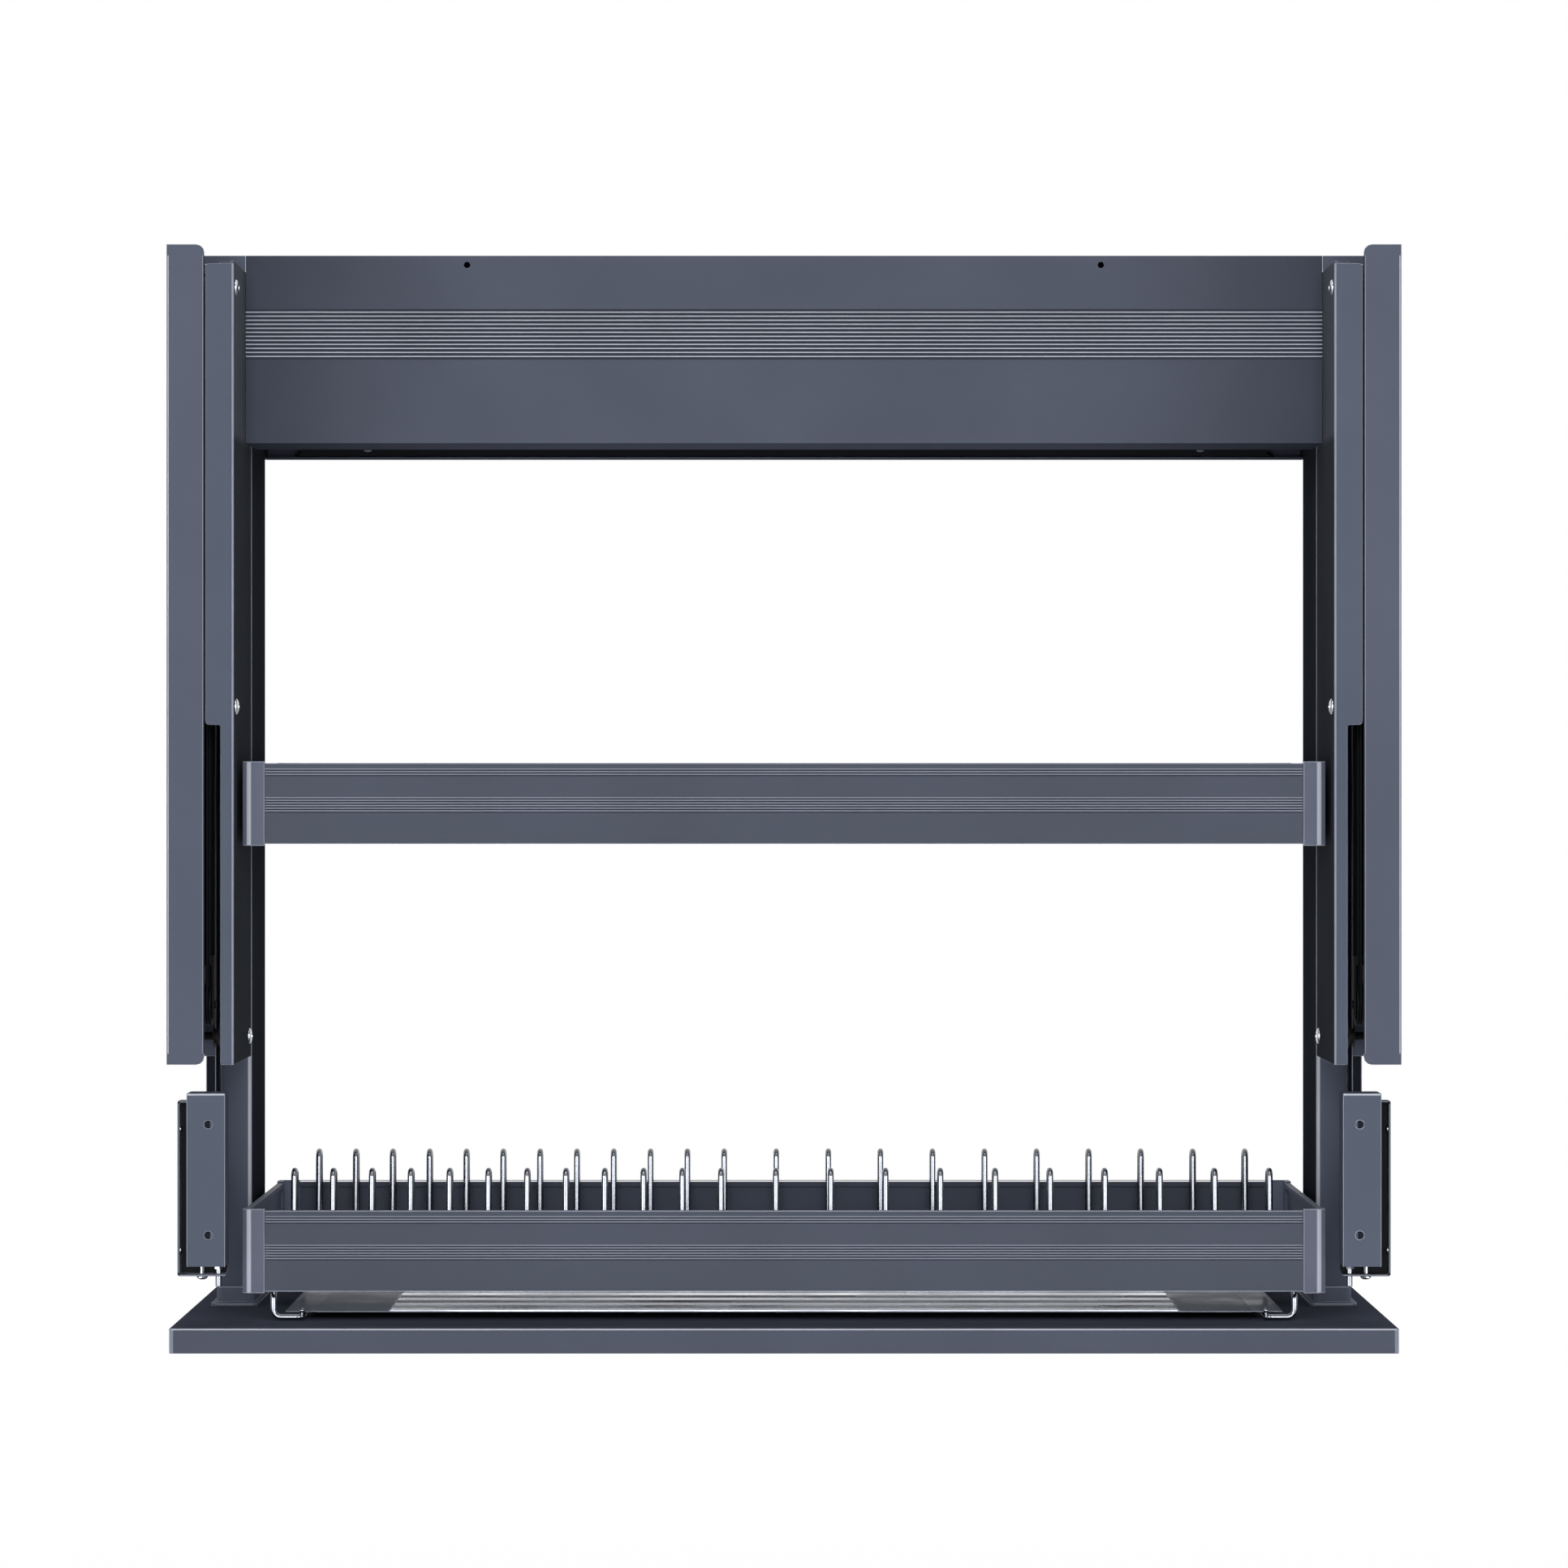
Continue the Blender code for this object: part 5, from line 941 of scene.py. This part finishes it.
class RACK_OT_screws(bpy.types.Operator):
    """Turns the domed bolts, the pan's small screws, the bracket screws and the channels' rivets"""

    bl_idname = "rack.screws"
    bl_label = "Screws"

    def execute(self, context):
        for label, side in SIDES.items():
            for stem in ("upper_bolt", "middle_bolt", "lower_bolt"):
                self.dome(f"{stem}_{label}", side)
            self.pin_nut(label, side)
            self.channel_rivets(label, side)
            self.pan_screw(label, side)
        return {"FINISHED"}

    @staticmethod
    def dome(node, side):
        """A domed head with its flange and a drive recess, and the shank."""
        low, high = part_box(node)
        head = low[0] if side > 0 else high[0]
        length = (high[0] - low[0]) / MM
        radius, depth = 5, 2
        angles = [math.radians(angle) for angle in range(26, 88, 8)]
        profile = [(0.0, 0.9), (1.5, 0.9), (1.9, 0.1)]
        profile += [(radius * math.sin(angle), depth * (1 - math.cos(angle))) for angle in angles]
        profile += [(radius, 1.95), (radius, depth), (2.5, depth), (2.5, length), (0.0, length)]
        shape = turn(profile, (head, (low[1] + high[1]) / 2, (low[2] + high[2]) / 2), (side, 0, 0))
        for face in shape.faces:
            face.material_index = int(abs(face.calc_center_median().x - head) > 2.1 * MM)
        made = piece(f"{node}_turned", shape, "zinc", FIXED, (node,))
        made.data.materials.append(MATERIALS["dark"])

    @staticmethod
    def pin_nut(label, side):
        """The hexagon nut and the plated sleeve on the bracket box's lower pin."""
        body = f"bracket_box_{label}"
        low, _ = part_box(body)
        pin = (side * (reach(body)[1] - 17.9 * MM), low[1] + 19 * MM)
        nut = turn(tube(1.9, 2.9, 0.0, 1.4), (*pin, low[2] + 11.1 * MM), UP, 6)
        piece(f"bracket_pin_nut_{label}", nut, "wire", body)
        profile = [(0.0, 0.0), (1.6, 0.0), (1.92, 0.35), (1.92, 13.8), (0.0, 13.8)]
        piece(f"bracket_pin_sleeve_{label}", turn(profile, (*pin, low[2] + 0.05 * MM), UP, 20), "wire", body)

    @staticmethod
    def channel_rivets(label, side):
        """Flat rivet heads inside the bracket channel's outer flange."""
        low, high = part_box(f"bracket_channel_{label}")
        x = side * (reach(f"bracket_channel_{label}")[1] - 1.5 * MM)
        profile = [(0.0, 1.3), (1.1, 1.15), (1.8, 0.6), (1.9, -0.3), (0.0, -0.3)]
        for index, z in enumerate((low[2] + 16.2 * MM, high[2] - 17.9 * MM)):
            rivet = turn(profile, (x, low[1] + 2.4 * MM, z), (-side, 0, 0), 20)
            piece(f"channel_rivet_{label}_{index}", rivet, "wire", FIXED)

    @staticmethod
    def pan_screw(label, side):
        """A small screw under the pan."""
        low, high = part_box("top_pan")
        profile = [(0.0, -1.2), (1.6, -1.0), (2.6, -0.2), (2.6, 0.2), (0.0, 0.2)]
        place = (side * (high[0] - 54 * MM), low[1] + 42.5 * MM, low[2])
        piece(f"pan_screw_{label}", turn(profile, place, UP, 20), "foot", FIXED)


class RACK_OT_fittings(bpy.types.Operator):
    """Adds the cables' ferrules, the posts' end caps, the top shell's lips and the cylinders' gland rings"""

    bl_idname = "rack.fittings"
    bl_label = "Fittings"

    def execute(self, context):
        for label, side in SIDES.items():
            low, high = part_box(f"lift_cable_{label}")
            profile = [(0.0, 0.0), (1.8, 0.2), (1.8, 5.5), (1.1, 6), (0.0, 6)]
            place = ((low[0] + high[0]) / 2, low[1] + 1 * MM, high[2] - 1 * MM)
            piece(f"cable_ferrule_{label}", turn(profile, place, UP, 20), "zinc", FIXED)
            low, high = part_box(f"post_{label}")
            slab_piece(f"post_end_cap_{label}", (*low[:2], high[2]), (*high[:2], high[2] + 1.6 * MM),
                       "nylon", LIFT, 0.7 * MM, 3)
            # A lip closes the top shell's back behind the post, near black like the pan, as painted shade
            low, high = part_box("top_shell")
            slab_piece(f"shell_back_lip_{label}",
                       (side * (high[0] - 1 * MM), high[1] - 2.6 * MM, low[2] + 0.2 * MM),
                       (side * (high[0] + 3 * MM), high[1] - 1.4 * MM, high[2] - 2 * MM), "pan", FIXED)
            low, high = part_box(f"gas_cylinder_{label}")
            profile = [(3.3, -0.6), (9.0, -0.6), (9.9, 0.4), (9.9, 7), (9.5, 7.6), (3.3, 7.6), (3.3, -0.6)]
            place = ((low[0] + high[0]) / 2, (low[1] + high[1]) / 2, low[2])
            piece(f"cylinder_gland_ring_{label}", turn(profile, place, UP), "nylon", FIXED)
        return {"FINISHED"}


# Studio

class StudioSettings(bpy.types.PropertyGroup):
    """The studio's light and camera."""

    distance: FloatProperty(
        name="Distance", description="From the camera to the rack's front", default=3.3, unit="LENGTH")
    eye_height: FloatProperty(
        name="Eye height", description="Height of the camera", default=0.3538, unit="LENGTH")
    lens: FloatProperty(name="Lens", description="Focal length on a 36 mm sensor", default=122.0)
    key_power: FloatProperty(name="Key light", description="Power of the key light", default=54.0)
    fill_power: FloatProperty(name="Fill light", description="Power of the fill light", default=34.0)
    strip_power: FloatProperty(
        name="Strip lights", description="Power of the strips at both sides, for gloss only", default=80.0)
    top_power: FloatProperty(
        name="Top light", description="Power of the panel overhead, for gloss only", default=16.0)
    round_power: FloatProperty(
        name="Lights around", description="Power of the soft lights behind and at both sides", default=40.0)
    over_power: FloatProperty(
        name="Light above", description="Power of the soft light above", default=11.0)
    ambient: FloatProperty(name="Ambient", description="Strength of the room's light", default=0.10)
    floor_drop: FloatProperty(
        name="Floor drop", description="How far the floor lies below the raised rack", default=0.45,
        unit="LENGTH")


def softbox(name, place, aim, size, power, only=None):
    """A rectangular area lamp that looks at a point. It may be seen only in gloss, or only as light on
    matt surfaces."""
    lamp = bpy.data.lights.new(name, "AREA")
    lamp.shape = "RECTANGLE"
    lamp.size, lamp.size_y = size
    lamp.energy = power
    made = bpy.data.objects.new(name, lamp)
    bpy.context.scene.collection.objects.link(made)
    made.location = place
    made.rotation_euler = (Vector(aim) - Vector(place)).to_track_quat("-Z", "Y").to_euler()
    made.visible_diffuse = only != "gloss"
    made.visible_glossy = only != "matt"


def seen(tree):
    """A node that gives 1 to the camera, to reflections and through glass, and 0 to the rest."""
    path = add(tree, "ShaderNodeLightPath")
    either = add(tree, "ShaderNodeMath", {"operation": "MAXIMUM"},
                 links={0: (path, "Is Camera Ray"), 1: (path, "Is Glossy Ray")})
    return add(tree, "ShaderNodeMath", {"operation": "MAXIMUM"},
               links={0: (either, "Value"), 1: (path, "Is Transmission Ray")})


def background_material():
    """White seamless paper: plain white to the camera and in reflections, far off fully so, and near the
    rack it keeps a soft shadow."""
    made, tree, laid = surface("white_seamless_paper")
    # Lit paper shows within about 2 m of the rack and fades into the white room beyond
    far = add(tree, "ShaderNodeVectorMath", {"operation": "LENGTH"}, links={0: laid["Vector"]})
    share = add(tree, "ShaderNodeMapRange",
                inputs={"From Min": 0.3, "From Max": 2.6, "To Min": 0.93, "To Max": 1.0},
                links={"Value": (far, "Value")})
    glow_share = add(tree, "ShaderNodeMath", {"operation": "MULTIPLY"},
                     links={0: (seen(tree), "Value"), 1: (share, "Result")})
    # Paper fibre: about 2 mm long, in faint relief
    fibre = add(tree, "ShaderNodeTexNoise", inputs={"Scale": 1 / (2 * MM), "Detail": 3.0}, links=laid)
    bump = add(tree, "ShaderNodeBump", inputs={"Strength": 0.05, "Distance": 0.05 * MM},
               links={"Height": (fibre, "Fac")})
    paper = add(tree, "ShaderNodeBsdfDiffuse", inputs={"Color": shade("#f7f7f7")},
                links={"Normal": (bump, "Normal")})
    glow = add(tree, "ShaderNodeEmission", inputs={"Color": shade("#ffffff"), "Strength": 1.0})
    mix = add(tree, "ShaderNodeMixShader",
              links={0: (glow_share, "Value"), 1: (paper, "BSDF"), 2: (glow, "Emission")})
    add(tree, "ShaderNodeOutputMaterial", links={"Surface": (mix, "Shader")})
    return made


class RACK_OT_studio(bpy.types.Operator):
    """Sets the white floor, the soft light and the camera"""

    bl_idname = "rack.studio"
    bl_label = "Studio"

    def execute(self, context):
        settings = context.scene.rack_studio
        shape = bmesh.new()
        half = 9.0
        shape.faces.new(ring(shape, ((-half, -half, 0), (half, -half, 0), (half, half, 0), (-half, half, 0))))
        floor = bpy.data.objects.new("studio_floor", mesh_of("floor", shape, False))
        context.scene.collection.objects.link(floor)
        floor.location.z = -settings.floor_drop
        floor.data.materials.append(background_material())
        self.room(context.scene, settings.ambient)
        self.lamps(settings)
        lens = bpy.data.cameras.new("camera")
        lens.lens = settings.lens
        lens.sensor_width = 36.0
        lens.clip_end = 60.0
        camera = bpy.data.objects.new("camera", lens)
        context.scene.collection.objects.link(camera)
        camera.location = (0.0, CAD_BOX[0][1] - settings.distance, settings.eye_height)
        camera.rotation_euler = (math.pi / 2, 0.0, 0.0)
        context.scene.camera = camera
        context.scene.view_settings.view_transform = "Standard"
        return {"FINISHED"}

    @staticmethod
    def lamps(settings):
        """Two large lamps in front, strips and soft lamps at both sides, two above and one behind."""
        middle = (0.0, 0.0, 0.35)
        softbox("key_light", (0.0, -3.7, 1.3), middle, (1.5, 1.1), settings.key_power)
        softbox("fill_light", (0.0, -3.7, 0.1), (0.0, 0.0, 0.2), (1.6, 1.0), settings.fill_power)
        for label, side in SIDES.items():
            softbox(f"strip_light_{label}", (side * 2.1, -2.5, 0.45), (side * 0.33, -0.1, 0.35),
                    (1.0, 2.2), settings.strip_power, "gloss")
            softbox(f"side_light_{label}", (side * 3.3, 0.35, 1.1), middle,
                    (1.0, 1.4), settings.round_power * 0.5, "matt")
        softbox("top_light", (0.0, -0.9, 2.6), (0.0, 0.0, 0.3), (2.2, 1.0), settings.top_power, "gloss")
        softbox("over_light", (0.0, -0.2, 2.7), (0.0, 0.0, 0.3), (2.0, 1.6), settings.over_power, "matt")
        softbox("back_light", (0.0, 3.7, 1.0), middle, (1.8, 1.2), settings.round_power, "matt")

    @staticmethod
    def room(scene, ambient):
        """White to the camera, in reflections and through glass, and dim as light."""
        world = bpy.data.worlds.new("white_room")
        world.use_nodes = True
        scene.world = world
        tree = world.node_tree
        tree.nodes.clear()
        dim = add(tree, "ShaderNodeBackground", inputs={"Color": shade("#ffffff"), "Strength": ambient})
        white = add(tree, "ShaderNodeBackground", inputs={"Color": shade("#ffffff"), "Strength": 1.0})
        mix = add(tree, "ShaderNodeMixShader",
                  links={0: (seen(tree), "Value"), 1: (dim, "Background"), 2: (white, "Background")})
        add(tree, "ShaderNodeOutputWorld", links={"Surface": (mix, "Shader")})


# Panel and order of work

class RACK_PT_panel(bpy.types.Panel):
    """Lists the rack's steps and settings"""

    bl_label = "Dish rack"
    bl_idname = "RACK_PT_panel"
    bl_space_type = "VIEW_3D"
    bl_region_type = "UI"
    bl_category = "Dish rack"

    def draw(self, context):
        for step in STEPS:
            self.layout.operator(step.bl_idname)
        for group in (context.scene.rack_colours, context.scene.rack_sizes, context.scene.rack_studio):
            box = self.layout.box()
            for name in group.bl_rna.properties.keys():
                if name not in ("rna_type", "name"):
                    box.prop(group, name)


STEPS = (
    RACK_OT_finishes, RACK_OT_plate_rows, RACK_OT_shelf_grid, RACK_OT_tray_runners, RACK_OT_drip_tray,
    RACK_OT_bright_lines, RACK_OT_edge_trims, RACK_OT_corners, RACK_OT_panel_edges, RACK_OT_screws,
    RACK_OT_fittings, RACK_OT_studio,
)
GROUPS = {"rack_colours": RackColours, "rack_sizes": RackSizes, "rack_studio": StudioSettings}


def register():
    """Registers the groups, the operators and the panel."""
    for name, group in GROUPS.items():
        bpy.utils.register_class(group)
        setattr(bpy.types.Scene, name, bpy.props.PointerProperty(type=group))
    for step in (*STEPS, RACK_PT_panel):
        bpy.utils.register_class(step)


def unregister():
    """Takes them out again."""
    for step in reversed((*STEPS, RACK_PT_panel)):
        bpy.utils.unregister_class(step)
    for name, group in GROUPS.items():
        delattr(bpy.types.Scene, name)
        bpy.utils.unregister_class(group)


def main():
    """Builds the looks, one step after another."""
    register()
    bpy.ops.rack.finishes()
    bpy.ops.rack.plate_rows()
    bpy.ops.rack.shelf_grid()
    bpy.ops.rack.tray_runners()
    bpy.ops.rack.drip_tray()
    bpy.ops.rack.bright_lines()
    bpy.ops.rack.edge_trims()
    bpy.ops.rack.corners()
    bpy.ops.rack.panel_edges()
    bpy.ops.rack.screws()
    bpy.ops.rack.fittings()
    bpy.ops.rack.studio()


if __name__ == "__main__":
    main()
